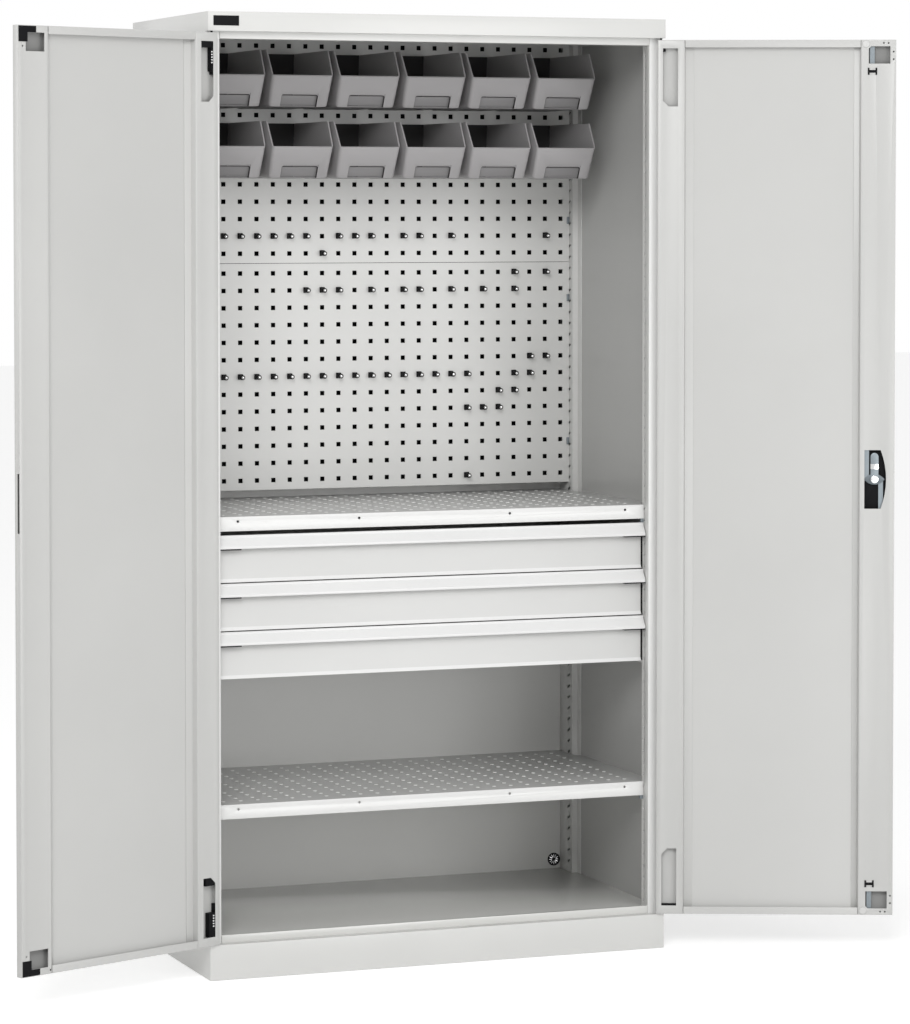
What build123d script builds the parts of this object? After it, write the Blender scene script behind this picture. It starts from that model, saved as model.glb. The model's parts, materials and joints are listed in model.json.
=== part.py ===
"""Tool cabinet with two doors, bins, perforated panels, shelves and three drawers.

Millimetres. X runs across the front, Y from the front to the back, Z up from the floor.
The origin is the middle of the plinth's underside. The doors are drawn standing open.
Depths named here are measured back from the front plane of the plinth and top cap.
"""

import os
from math import floor

from build123d import *

os.makedirs("parts", exist_ok=True)

# ---- carcass ----
WIDTH = 1023.0
DEPTH = 555.0
HEIGHT = 2000.0
SHEET = 1.5
CAP_HEIGHT = 40.0
PLINTH_HEIGHT = 73.5
DOOR_SPACE = 18.5  # the front plane to the posts that the doors close against
POST_FACE = 30.0
POST_RETURN = 34.0
REAR_FOLD = 20.0
HEAD_RAIL_DROP = 15.0
HEAD_RAIL_DEPTH = 34.0
HEAD_RAIL_RISE = 22.0  # how far the head rail reaches up into the cap
FLOOR_RISE = 12.5
FLOOR_LIP = 4.0
FLOOR_LIP_DEPTH = 6.0
FLAT_CLEARANCE = 0.5  # between a loose tray and the walls beside it

# ---- rear uprights and perforated panels ----
UPRIGHT_INSET = 15.5  # the cabinet's side to the upright's slotted face
UPRIGHT_DEPTH = 73.0
UPRIGHT_FLANGE = 20.0
PANEL_STANDOFF = 51.0  # the back panel to the perforated panels' front
PANEL_BASE = 976.0
PANEL_HEIGHT = 498.5
PANEL_JOINT = 1.0
PANEL_FOLD = 18.0
HOLE_PITCH = 38.0
HOLE_SIZE = 10.0
FIRST_ROW = 21.0  # a panel's lower edge to its first row of holes
PANEL_CLIP = 16.0
PANEL_CLIP_WIDTH = 6.0
PANEL_CLIP_RISES = (85.0, 410.0)  # a panel's lower edge to its clips; the upper has the first

# ---- storage bins ----
BIN_COUNT = 6
BIN_HOLES = 4  # the bins' pitch, in panel holes
BIN_GAP = 11.0
BIN_DEPTH = 266.0
BIN_HEIGHT = 121.0
BIN_LIP_HEIGHT = 64.0
BIN_MOUTH_RUN = 38.0
BIN_FRONT_RAKE = 34.0
BIN_DRAFT = 4.0
BIN_WALL = 3.0
BIN_BELOW_HOOK = 101.0
BIN_HOOK_ROWS = (7, 11)
TONGUE_THICKNESS = 2.0
TONGUE_PLAY = 3.0  # the panel's rear face to the tongues
LABEL_WIDTH = 82.0
LABEL_HEIGHT = 28.0
LABEL_RECESS = 1.5

# ---- tool hooks: panel row to the hole columns that carry one ----
HOOKS_UPPER = {0: [10], 1: [4, 5, 6, 7, 8, 9, 11, 12, 13, 15, 16, 18, 24]}
HOOKS_LOWER = {
    0: [19],
    4: [19, 20, 21],
    5: [21, 22],
    6: [*range(4, 20), 22, 23],
    7: [23, 24],
    11: [9, 10, 11, 13, 15, 16, 18, 20, 22],
    12: [22, 24],
}
HOOK_LENGTH = 20.0
HOOK_TIP = 8.0
HOOK_WIDTH = 7.0

# ---- shelves ----
SHELF_TOP = 957.0
SHELF_STEP = 600.0  # a whole number of 25 mm post holes
SHELF_SETBACK = 42.0
SHELF_DEPTH = 509.5
SHELF_EDGE = 30.0
SHELF_RETURN = 12.0
CLIP_HEIGHT = 8.0
CLIP_REACH = 7.0
CLIP_LENGTH = 8.0

# ---- drawers ----
DRAWER_COUNT = 3
DRAWER_TOP = 918.4
DRAWER_PITCH = 100.5
DRAWER_FRONT_HEIGHT = 98.0
DRAWER_DEPTH = 440.0
DRAWER_SHEET = 1.2
BOX_BELOW_TOP = 12.0
BOX_HEIGHT = 82.0
FRONT_SETBACK = 48.0
FRONT_SIDE_GAP = 5.0
FRONT_TOE = 7.0
FRONT_TOE_RUN = 4.0
HANDLE_REACH = 18.0  # how far the handle's lip stands out from the drawer front
HANDLE_LIP_TOP = 22.4
HANDLE_HEIGHT = 27.6
HANDLE_STRIP = 5.0
HANDLE_SHEET = 2.0
HANDLE_CLEARANCE = 1.0
RUNNER_SPACE = 13.5
RUNNER_HEIGHT = 44.0
RUNNER_SHEET = 1.2
RUNNER_CLEARANCE = 0.4
RUNNER_DROP = 50.0
RUNNER_FLANGE = 9.0
CARRIER_LENGTH = 450.0
CARRIER_MARGIN = 6.0

# ---- doors ----
DOOR_SIDE_GAP = 1.5
DOOR_MEETING_GAP = 3.0
DOOR_TOP_GAP = 4.0
DOOR_BOTTOM_GAP = 1.5
DOOR_THICKNESS = 16.0
DOOR_SHEET = 1.2
DOOR_OPENING = 157.5
DOOR_FLANGE = 16.0
PIVOT_S = 7.0  # the door's hinge edge to the pivot
PIVOT_D = 5.0  # the door's outer face to the pivot
PIN_RADIUS = 2.5
PIN_CLEARANCE = 0.1
PIN_ENGAGEMENT = 10.0
HINGE_STILE = 57.5
LOCK_STILE = 74.5
STILE_SLOPE = 2.5  # how far a stile leans as it steps down to the outer sheet
HINGE_FOOT = 20.0
LOCK_FOOT = 14.0
HINGE_BODY_WIDTH = 9.6
HINGE_BODY_HEIGHT = 86.0
HINGE_SLOT_START = 11.0
HINGE_SLOT_WIDTH = 32.0
HINGE_SLOT_HEIGHT = 124.0
HINGE_SLOT_END = 18.0  # the door's end to the slot's nearer end
HINGE_SLOT_CHAMFER = 12.0
ACCESS_WIDTH = 46.0
ACCESS_HEIGHT = 37.0
ACCESS_END = 14.0  # the door's end to the square access opening
ACCESS_CHAMFER = 5.0
ACCESS_EDGE_RIGHT = 12.5
ACCESS_EDGE_LEFT = 19.5
CORNER_LENGTH = 43.0
CORNER_WIDTH = 12.5
CORNER_LEG = 31.0
CORNER_LEG_WIDTH = 22.0
CORNER_MARGIN = 1.5  # the door's edges to the corner pieces
CORNER_THICKNESS = 1.5
STRIKE_HEIGHT = 118.0  # the slot in either door's free edge that the lever turns through
STRIKE_DEPTH = 8.0  # the door's outer face to the slot
BUFFER_RADIUS = 7.7
BUFFER_THICKNESS = 2.2
BUFFER_EDGE = 64.5
BUFFER_END = 9.0

# ---- lock, cam and rods in the right door ----
LOCK_HEIGHT = 1015.0
LOCK_EDGE = 42.5  # the door's free edge to the spindle
WINDOW_HEIGHT = 126.0
WINDOW_NEAR = 21.8
WINDOW_FLAT = 13.0
WINDOW_FAR = 24.7
SPINDLE_RADIUS = 5.0
SPINDLE_CLEARANCE = 0.08
SHANK = 7.0  # the spindle's square end, in the cam and the lever
CAM_LENGTH = 43.5
CAM_HEIGHT = 23.0
CAM_SHEET = 2.0
LEVER_WIDTH = 17.0
LEVER_HEIGHT = 57.0
BOLT_RADIUS = 8.0
BOLT_HEAD = 2.5
HOUSING_WIDTH = 52.0
HOUSING_HEIGHT = 138.0
HOUSING_DEPTH = 4.3
NECK_SIZE = 24.0
ESCUTCHEON_WIDTH = 40.0
ESCUTCHEON_HEIGHT = 120.0
ESCUTCHEON_THICKNESS = 3.0
GRIP_LENGTH = 80.0
GRIP_WIDTH = 18.0
GRIP_THICKNESS = 12.0
GRIP_STANDOFF = 10.0
GRIP_CLEARANCE = 0.3
GRIP_CHAMFER = 5.0
HUB_RADIUS = 12.0
ROD_WIDTH = 10.0
ROD_THICKNESS = 3.0
ROD_DEPTH = 7.3  # the door's outer face to the rod
ROD_EDGE = 50.5  # the door's free edge to the rod's middle
ROD_UPPER_OFFSET = 16.5  # the spindle to the rod's end, to the hinge side
ROD_LOWER_OFFSET = 13.6  # the spindle to the rod's end, to the free side
ROD_JOG_START = 85.0
ROD_JOG_HEIGHT = 10.0
ROD_REST_GAP = 3.0  # the rod's tip to the door's end when it is drawn in
ROD_CLEARANCE = 0.4
GUIDE_WIDTH = 20.0
GUIDE_HEIGHT = 15.0
GUIDE_FLANGE = 3.0
GUIDE_END = 67.5
GUIDE_PLATE = 1.2

# ---- cable grommet ----
GROMMET_RADIUS = 14.6
GROMMET_HOLE = 12.0
GROMMET_FLANGE = 2.5
GROMMET_SIDE = 31.0  # the cabinet's side to the grommet's middle
GROMMET_HEIGHT = 106.5

# ---- planes that several parts share ----
SIDE = WIDTH / 2
WALL = SIDE - SHEET
POST = SIDE - POST_FACE
CAP_BASE = HEIGHT - CAP_HEIGHT
BACK = DEPTH - 2 * SHEET  # the back panel's inner face
FLOOR = PLINTH_HEIGHT + FLOOR_RISE
UPRIGHT = SIDE - UPRIGHT_INSET
UPRIGHT_FRONT = BACK - UPRIGHT_DEPTH
PANEL_FACE = BACK - PANEL_STANDOFF
PANEL_BACK = PANEL_FACE + SHEET
POST_BACK = DOOR_SPACE + POST_RETURN
DOOR_LOW = PLINTH_HEIGHT + DOOR_BOTTOM_GAP
DOOR_HIGH = CAP_BASE - DOOR_TOP_GAP
DOOR_WIDTH = SIDE - DOOR_SIDE_GAP - DOOR_MEETING_GAP / 2
PIVOT_X = SIDE - DOOR_SIDE_GAP - PIVOT_S
ROD_S = DOOR_WIDTH - ROD_EDGE
LOCK_S = DOOR_WIDTH - LOCK_EDGE
INNER = DOOR_THICKNESS - DOOR_SHEET
UPPER_PANEL_BASE = PANEL_BASE + PANEL_HEIGHT + PANEL_JOINT
COLUMNS = 2 * floor((UPRIGHT - HOLE_SIZE) / HOLE_PITCH + 0.5)
ROWS = floor((PANEL_HEIGHT - FIRST_ROW - HOLE_SIZE) / HOLE_PITCH) + 1


def back(depth):
    """Y of a plane that lies this far behind the front plane."""
    return depth - DEPTH / 2


def block(x, y, z):
    """A box between pairs of limits, y as depths behind the front plane."""
    size = (x[1] - x[0], y[1] - y[0], z[1] - z[0])
    middle = (sum(x) / 2, back(sum(y) / 2), sum(z) / 2)
    return Pos(*middle) * Box(*size)


def folded(points, thickness=SHEET):
    """Section of a sheet folded along a path, its thickness on the path's left."""
    path = [Vector(*p) for p in points]
    runs = [(b - a).normalized() for a, b in zip(path, path[1:])]
    lefts = [Vector(-run.Y, run.X) for run in runs]
    inner = [path[0] + lefts[0] * thickness]
    for corner, a, b in zip(path[1:-1], lefts, lefts[1:]):
        inner.append(corner + (a + b) * (thickness / (1 + a.dot(b))))
    inner.append(path[-1] + lefts[-1] * thickness)
    return make_face(Polyline(*path, *reversed(inner), close=True).edges())


def outline(*points):
    """A flat face with these corners."""
    return make_face(Polyline(*points, close=True).edges())


def raised(face, low, high):
    """A plan outline extruded between two heights."""
    return extrude(Pos(0, 0, low) * face, amount=high - low, dir=(0, 0, 1))


def plan(face, low, high):
    """A plan section drawn with depths for Y, extruded between two heights."""
    return Pos(0, -DEPTH / 2, 0) * raised(face, low, high)


def across(face, half_width, middle=0.0):
    """A side section (depth, height) extruded to both sides of a plane of constant X."""
    return Pos(middle, -DEPTH / 2, 0) * extrude(Plane.YZ * face, amount=half_width, both=True)


def facing(face, near, far):
    """A front view (X, Z) extruded from one depth to another."""
    stood = Pos(0, near - DEPTH / 2, 0) * Rot(90, 0, 0) * face
    return extrude(stood, amount=far - near, dir=(0, 1, 0))


def mirrored(*shapes):
    """The shapes and their reflections in the cabinet's middle plane."""
    return [*shapes, *(mirror(s, about=Plane.YZ) for s in shapes)]


def save(name, *shapes):
    """Writes one node, which may hold several separate solids."""
    solids = [solid for shape in shapes for solid in shape.solids()]
    node = solids[0] if len(solids) == 1 else Compound(solids)
    export_step(node, f"parts/{name}.step")


# ---------------------------------------------------------------- carcass
def plinth():
    """Deck with four walls below it, open to the floor."""
    body = block((-SIDE, SIDE), (0, DEPTH), (0, PLINTH_HEIGHT))
    body -= block((-WALL, WALL), (SHEET, DEPTH - SHEET), (0, PLINTH_HEIGHT - SHEET))
    return body - hinge_and_rod_holes(PLINTH_HEIGHT - SHEET, PLINTH_HEIGHT)


def top_cap():
    """Lid with four walls and a front flange that the doors turn under."""
    body = block((-SIDE, SIDE), (0, DEPTH), (CAP_BASE, HEIGHT))
    body -= block((-WALL, WALL), (DOOR_SPACE, DEPTH - SHEET), (CAP_BASE, HEIGHT - SHEET))
    body -= block((-WALL, WALL), (SHEET, DOOR_SPACE), (CAP_BASE + SHEET, HEIGHT - SHEET))
    return body - hinge_and_rod_holes(CAP_BASE, CAP_BASE + SHEET)


def hinge_and_rod_holes(low, high):
    """Holes through a plate for the two hinge pins and for one lock rod."""
    bore = Pos(PIVOT_X, back(PIVOT_D), (low + high) / 2) * Cylinder(
        PIN_RADIUS + PIN_CLEARANCE, high - low
    )
    rod_x = SIDE - DOOR_SIDE_GAP - ROD_S
    reach = ROD_WIDTH / 2 + 3 * ROD_CLEARANCE
    rod_depths = (ROD_DEPTH - 3 * ROD_CLEARANCE, ROD_DEPTH + ROD_THICKNESS + 3 * ROD_CLEARANCE)
    slot = block((rod_x - reach, rod_x + reach), rod_depths, (low, high))
    return Part() + mirrored(bore) + slot


def side_panel():
    """Left side: rear fold, wall, front post and the post's return."""
    section = folded(
        [
            (-SIDE + REAR_FOLD, DEPTH),
            (-SIDE, DEPTH),
            (-SIDE, DOOR_SPACE),
            (-POST, DOOR_SPACE),
            (-POST, POST_BACK),
        ]
    )
    return plan(section, PLINTH_HEIGHT, CAP_BASE)


def back_panel():
    """Sheet between the sides, seated on their rear folds, with the grommet's hole."""
    sheet = block((-WALL, WALL), (BACK, BACK + SHEET), (PLINTH_HEIGHT, CAP_BASE))
    hole = Pos(*grommet_centre()) * Rot(90, 0, 0) * Cylinder(GROMMET_HOLE, 4 * SHEET)
    return sheet - hole


def grommet_centre():
    return (SIDE - GROMMET_SIDE, back(BACK), GROMMET_HEIGHT)


def cable_grommet():
    """Round cap over the hole in the back panel."""
    cap = Pos(0, 0, GROMMET_FLANGE / 2) * Cylinder(GROMMET_RADIUS, GROMMET_FLANGE)
    return Pos(*grommet_centre()) * Rot(90, 0, 0) * cap


def head_rail():
    """Channel over the opening, between the posts."""
    section = folded(
        [
            (DOOR_SPACE, CAP_BASE + HEAD_RAIL_RISE),
            (DOOR_SPACE, CAP_BASE - HEAD_RAIL_DROP),
            (DOOR_SPACE + HEAD_RAIL_DEPTH, CAP_BASE - HEAD_RAIL_DROP),
            (DOOR_SPACE + HEAD_RAIL_DEPTH, CAP_BASE),
        ]
    )
    return across(section, POST)


def base_floor():
    """Floor tray with a raised front lip, notched round the posts."""
    lip = folded(
        [
            (DOOR_SPACE, PLINTH_HEIGHT),
            (DOOR_SPACE, FLOOR + FLOOR_LIP),
            (DOOR_SPACE + FLOOR_LIP_DEPTH, FLOOR + FLOOR_LIP),
            (DOOR_SPACE + FLOOR_LIP_DEPTH, FLOOR),
            (POST_BACK + SHEET, FLOOR),
        ][::-1]
    )
    front = across(lip, POST)
    tray = folded(
        [
            (POST_BACK, PLINTH_HEIGHT),
            (POST_BACK, FLOOR),
            (BACK, FLOOR),
            (BACK, PLINTH_HEIGHT),
        ][::-1]
    )
    return front + across(tray, WALL)


def rear_upright():
    """Left upright: flange on the side wall, front web and slotted face."""
    section = folded(
        [
            (-WALL + SHEET, UPRIGHT_FRONT - UPRIGHT_FLANGE),
            (-WALL + SHEET, UPRIGHT_FRONT),
            (-UPRIGHT, UPRIGHT_FRONT),
            (-UPRIGHT, BACK),
        ]
    )
    return plan(section, FLOOR, HEIGHT - CAP_HEIGHT / 2)


# ---------------------------------------------------------------- perforated panels
def hole_position(column, row):
    """Middle of a panel hole: X, and height above the panel's lower edge."""
    return (column - (COLUMNS - 1) / 2) * HOLE_PITCH, FIRST_ROW + row * HOLE_PITCH


def perforated_panel(base, holes):
    """Sheet with a grid of square holes and a fold back along either side."""
    rim = Pos(0, base + PANEL_HEIGHT / 2) * Rectangle(2 * UPRIGHT, PANEL_HEIGHT)
    openings = []
    for column, row in holes:
        x, z = hole_position(column, row)
        openings.append((Pos(x, base + z) * Rectangle(HOLE_SIZE, HOLE_SIZE)).wire())
    sheet = facing(Face(rim.wire(), openings), PANEL_FACE, PANEL_BACK)
    fold = block(
        (UPRIGHT - SHEET, UPRIGHT), (PANEL_BACK, PANEL_FACE + PANEL_FOLD), (base, base + PANEL_HEIGHT)
    )
    return Part() + [sheet, *mirrored(fold)]


def lower_holes():
    """Every hole of the grid."""
    return [(column, row) for row in range(ROWS) for column in range(COLUMNS)]


def upper_holes():
    """The holes that carry the hooks and the bins; the rest is plain."""
    holes = [(column, row) for row, columns in HOOKS_UPPER.items() for column in columns]
    for row in BIN_HOOK_ROWS:
        holes += [(column, row) for middle in bin_columns() for column in (middle, middle + 1)]
    return holes


def panel_clips():
    """Clips that hold the panels' edges to the uprights' slotted faces."""
    clips = []
    edge = (UPRIGHT - PANEL_CLIP_WIDTH, UPRIGHT)
    face = (PANEL_FACE - PANEL_CLIP_WIDTH / 2, PANEL_FACE)
    low, high = PANEL_CLIP_RISES
    for base, rise in ((PANEL_BASE, low), (PANEL_BASE, high), (UPPER_PANEL_BASE, low)):
        clips += mirrored(block(edge, face, (base + rise, base + rise + PANEL_CLIP)))
    return clips


# ---------------------------------------------------------------- storage bins
def bin_columns():
    """The left one of the two hole columns that each bin hangs from."""
    first = (COLUMNS - BIN_HOLES * (BIN_COUNT - 1)) // 2 - 1
    return [first + BIN_HOLES * k for k in range(BIN_COUNT)]


def bin_block(low, high, inset):
    """Block between two heights in a bin: its side section crossed with its front view."""
    rake = BIN_FRONT_RAKE / BIN_LIP_HEIGHT
    front = PANEL_FACE - BIN_DEPTH + BIN_FRONT_RAKE + inset * (1 + rake / 4)
    rear = PANEL_FACE - inset
    mouth_half = (BIN_HOLES * HOLE_PITCH - BIN_GAP) / 2 - inset
    low_half = mouth_half - BIN_DRAFT * (1 - low / BIN_HEIGHT)
    high_half = mouth_half - BIN_DRAFT * (1 - high / BIN_HEIGHT)
    side = outline((front - rake * low, low), (front - rake * high, high), (rear, high), (rear, low))
    view = outline((-low_half, low), (-high_half, high), (high_half, high), (low_half, low))
    return across(side, high_half) & facing(view, front - rake * high, rear)


def storage_bin():
    """Open bin with a low raked front, standing on z = 0 at X = 0."""
    front = PANEL_FACE - BIN_DEPTH
    rake = BIN_FRONT_RAKE / BIN_LIP_HEIGHT
    body = bin_block(0, BIN_HEIGHT, 0)
    body -= bin_block(BIN_WALL, BIN_HEIGHT + BIN_WALL, BIN_WALL)
    mouth = outline(
        (front, BIN_LIP_HEIGHT),
        (front + BIN_MOUTH_RUN, BIN_HEIGHT),
        (front + BIN_MOUTH_RUN, BIN_HEIGHT + BIN_WALL),
        (front - BIN_MOUTH_RUN, BIN_HEIGHT + BIN_WALL),
        (front - BIN_MOUTH_RUN, BIN_LIP_HEIGHT),
    )
    body -= across(mouth, BIN_HOLES * HOLE_PITCH)
    foot = front + BIN_FRONT_RAKE + LABEL_RECESS
    label = outline(
        (foot, 0),
        (foot - rake * LABEL_HEIGHT, LABEL_HEIGHT),
        (front, LABEL_HEIGHT),
        (front, 0),
    )
    body -= across(label, LABEL_WIDTH / 2)
    for side in (-1, 1):
        x = side * HOLE_PITCH / 2
        tongue = folded(
            [
                (PANEL_FACE, BIN_BELOW_HOOK + TONGUE_THICKNESS),
                (PANEL_BACK + TONGUE_PLAY, BIN_BELOW_HOOK + TONGUE_THICKNESS),
                (PANEL_BACK + TONGUE_PLAY, BIN_BELOW_HOOK - HOLE_SIZE),
            ][::-1],
            TONGUE_THICKNESS,
        )
        body += across(tongue, HOLE_SIZE / 2 - TONGUE_THICKNESS, x)
    return body


def bin_row(hook_row):
    """One row of bins, hung from a row of holes."""
    base = UPPER_PANEL_BASE + FIRST_ROW + hook_row * HOLE_PITCH - BIN_BELOW_HOOK
    shape = storage_bin()
    bins = []
    for column in bin_columns():
        x = hole_position(column, 0)[0] + HOLE_PITCH / 2
        bins.append(Pos(x, 0, base) * shape)
    return bins


# ---------------------------------------------------------------- tool hooks
def tool_hooks():
    """Short tapered arms that stand out of panel holes."""
    arm = outline(
        (PANEL_FACE, -HOLE_SIZE / 2),
        (PANEL_FACE, HOLE_SIZE / 2),
        (PANEL_FACE - HOOK_LENGTH, HOOK_TIP / 2),
        (PANEL_FACE - HOOK_LENGTH, -HOOK_TIP / 2),
    )
    hooks = []
    for base, layout in ((PANEL_BASE, HOOKS_LOWER), (UPPER_PANEL_BASE, HOOKS_UPPER)):
        for row, columns in layout.items():
            for column in columns:
                if column < COLUMNS and row < ROWS:
                    x, z = hole_position(column, row)
                    hooks.append(Pos(0, 0, base + z) * across(arm, HOOK_WIDTH / 2, x))
    return hooks


# ---------------------------------------------------------------- shelves
def shelf(top):
    """Tray that reaches behind the posts and is notched round the uprights."""
    front_half = POST - FLAT_CLEARANCE
    side_half = WALL - FLAT_CLEARANCE
    rear_half = UPRIGHT - FLAT_CLEARANCE
    notch_front = POST_BACK + FLAT_CLEARANCE
    notch_rear = UPRIGHT_FRONT - UPRIGHT_FLANGE - FLAT_CLEARANCE
    rear = SHELF_SETBACK + SHELF_DEPTH
    right = [
        (front_half, SHELF_SETBACK),
        (front_half, notch_front),
        (side_half, notch_front),
        (side_half, notch_rear),
        (rear_half, notch_rear),
        (rear_half, rear),
    ]
    left = [(-x, y) for x, y in reversed(right)]
    rim = outline(*right, *left)
    inner = offset(rim, amount=-SHEET, kind=Kind.INTERSECTION)
    tray = plan(rim, top - SHELF_EDGE, top) - plan(inner, top - SHELF_EDGE, top - SHEET)
    strip = block(
        (-front_half + SHEET, front_half - SHEET),
        (SHELF_SETBACK + SHEET, SHELF_SETBACK + SHELF_RETURN),
        (top - SHELF_EDGE, top - SHELF_EDGE + SHEET),
    )
    return tray + strip


def shelf_clips():
    """Four clips under each shelf, on the posts and on the rear uprights."""
    clips = []
    for top in (SHELF_TOP, SHELF_TOP - SHELF_STEP):
        heights = (top - SHELF_EDGE - CLIP_HEIGHT, top - SHELF_EDGE)
        front = (SHELF_SETBACK + SHEET, SHELF_SETBACK + SHEET + CLIP_LENGTH)
        rear = (UPRIGHT_FRONT + CLIP_LENGTH, UPRIGHT_FRONT + 2 * CLIP_LENGTH)
        clips += mirrored(
            block((POST - CLIP_REACH, POST), front, heights),
            block((UPRIGHT - CLIP_REACH, UPRIGHT), rear, heights),
        )
    return clips


# ---------------------------------------------------------------- drawers
def drawer_top(number):
    return DRAWER_TOP - (number - 1) * DRAWER_PITCH


def drawer_front(top):
    """Front sheet, its lower edge turned forward."""
    section = folded(
        [
            (FRONT_SETBACK, top),
            (FRONT_SETBACK, top - DRAWER_FRONT_HEIGHT + FRONT_TOE),
            (FRONT_SETBACK - FRONT_TOE_RUN, top - DRAWER_FRONT_HEIGHT),
        ]
    )
    return across(section, POST - FRONT_SIDE_GAP)


def drawer_handle(top):
    """Full-width grip: a top strip, a face raked forward and a lip."""
    lip = FRONT_SETBACK - HANDLE_REACH
    crest = lip + 2 * HANDLE_REACH / 3
    section = folded(
        [
            (FRONT_SETBACK, top),
            (crest, top),
            (crest, top - HANDLE_STRIP),
            (lip, top - HANDLE_LIP_TOP),
            (lip, top - HANDLE_HEIGHT),
            (lip + 2 * HANDLE_SHEET, top - HANDLE_HEIGHT),
        ],
        HANDLE_SHEET,
    )
    return across(section, POST - HANDLE_CLEARANCE)


def drawer_box(top):
    """Open sheet tray behind the front."""
    half = POST - RUNNER_SPACE
    near = FRONT_SETBACK + SHEET
    far = near + DRAWER_DEPTH
    high = top - BOX_BELOW_TOP
    low = high - BOX_HEIGHT
    t = DRAWER_SHEET
    body = block((-half, half), (near, far), (low, high))
    return body - block((t - half, half - t), (near + t, far - t), (low + t, high))


def runner(top, side_near, side_far, half_height, opens_inward):
    """One C-section member, at distances in from the plane the outer members are fixed to."""
    web, rim = -POST + side_near, -POST + side_far
    if not opens_inward:
        web, rim = rim, web
    middle = top - RUNNER_DROP
    path = [
        (rim, middle + half_height),
        (web, middle + half_height),
        (web, middle - half_height),
        (rim, middle - half_height),
    ]
    section = folded(path if opens_inward else path[::-1], RUNNER_SHEET)
    near = FRONT_SETBACK + SHEET + CARRIER_MARGIN
    return mirrored(facing(section, near, near + DRAWER_DEPTH))


def outer_runners():
    """Members fixed to the carriers."""
    solids = []
    for number in range(1, DRAWER_COUNT + 1):
        solids += runner(drawer_top(number), 0, RUNNER_FLANGE, RUNNER_HEIGHT / 2, True)
    return solids


def middle_runners(top):
    """Members that carry the drawer's own and travel half as far."""
    step = RUNNER_SHEET + RUNNER_CLEARANCE
    return runner(top, step, RUNNER_SPACE - step, RUNNER_HEIGHT / 2 - step, True)


def inner_runners(top):
    """Members fixed to the drawer's sides."""
    step = RUNNER_SHEET + RUNNER_CLEARANCE
    return runner(top, 2 * step, RUNNER_SPACE, RUNNER_HEIGHT / 2 - 2 * step, False)


def drawer_carriers():
    """Folded side plates that the runners are fixed to."""
    near = POST_BACK + SHEET
    far = near + CARRIER_LENGTH
    section = folded([(-WALL, near), (-POST, near), (-POST, far), (-UPRIGHT, far)])
    high = SHELF_TOP - SHELF_EDGE - 2
    low = drawer_top(DRAWER_COUNT) - DRAWER_FRONT_HEIGHT - CARRIER_MARGIN
    return mirrored(plan(section, low, high))


# ---------------------------------------------------------------- doors
# A door is drawn shut, with S from its hinge edge, D from its outer face and Z as it hangs.
def hung(*shapes, side):
    """Turns left-door shapes to the open angle, and reflects them for the right door."""
    place = (
        Pos(-PIVOT_X, back(PIVOT_D), 0) * Rot(0, 0, -DOOR_OPENING) * Pos(-PIVOT_S, -PIVOT_D, 0)
    )
    turned = [place * shape for shape in shapes]
    return turned if side == "left" else [mirror(s, about=Plane.YZ) for s in turned]


def slab(s, d, z):
    """A box in door coordinates."""
    middle = (sum(s) / 2, sum(d) / 2, sum(z) / 2)
    return Pos(*middle) * Box(s[1] - s[0], d[1] - d[0], z[1] - z[0])


def cutter(face, d):
    """A front view (S, Z) extruded through the door between two depths."""
    return extrude(Pos(0, d[0], 0) * Rot(90, 0, 0) * face, amount=d[1] - d[0], dir=(0, 1, 0))


def both_ends(shape):
    """A shape near the door's upper end, and its reflection near the lower end."""
    middle = Plane.XY.offset((DOOR_LOW + DOOR_HIGH) / 2)
    return [shape, mirror(shape, about=middle)]


def disc(s, z, radius, d):
    """A cylinder through the door's thickness between two depths."""
    return Pos(s, sum(d) / 2, z) * Rot(90, 0, 0) * Cylinder(radius, d[1] - d[0])


def door_skin(side):
    """Outer sheet folded into a shallow tray, with a flange at either end."""
    t = DOOR_SHEET
    skin = slab((0, DOOR_WIDTH), (0, DOOR_THICKNESS), (DOOR_LOW, DOOR_HIGH))
    skin -= slab((t, DOOR_WIDTH - t), (t, DOOR_THICKNESS), (DOOR_LOW + t, DOOR_HIGH - t))
    flange = slab(
        (HINGE_STILE + t, DOOR_WIDTH - LOCK_STILE - t),
        (INNER, DOOR_THICKNESS),
        (DOOR_HIGH - DOOR_FLANGE, DOOR_HIGH - t),
    )
    skin += both_ends(flange)
    notch = slab((t, t + HINGE_BODY_WIDTH), (t, INNER), (DOOR_HIGH - t, DOOR_HIGH))
    skin -= both_ends(notch)
    middle = (LOCK_HEIGHT - STRIKE_HEIGHT / 2, LOCK_HEIGHT + STRIKE_HEIGHT / 2)
    skin -= slab((DOOR_WIDTH - t, DOOR_WIDTH), (STRIKE_DEPTH, INNER), middle)
    if side == "left":
        return skin
    half = ROD_WIDTH / 2 + ROD_CLEARANCE
    rod_depths = (ROD_DEPTH - ROD_CLEARANCE, ROD_DEPTH + ROD_THICKNESS + ROD_CLEARANCE)
    slot = slab((ROD_S - half, ROD_S + half), rod_depths, (DOOR_HIGH - t, DOOR_HIGH))
    skin -= both_ends(slot)
    return skin - neck((0, t))


def chamfered(s, z, corner, chamfer):
    """A rectangle with one corner cut off; the corner is given as its S and Z."""
    points = []
    for a, b in ((s[0], z[0]), (s[1], z[0]), (s[1], z[1]), (s[0], z[1])):
        if (a, b) != corner:
            points.append((a, b))
            continue
        toward_s = chamfer if a == s[0] else -chamfer
        toward_z = chamfer if b == z[0] else -chamfer
        pair = [(a + toward_s, b), (a, b + toward_z)]
        points += pair if (a == s[0]) != (b == z[0]) else pair[::-1]
    return outline(*points)


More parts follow.
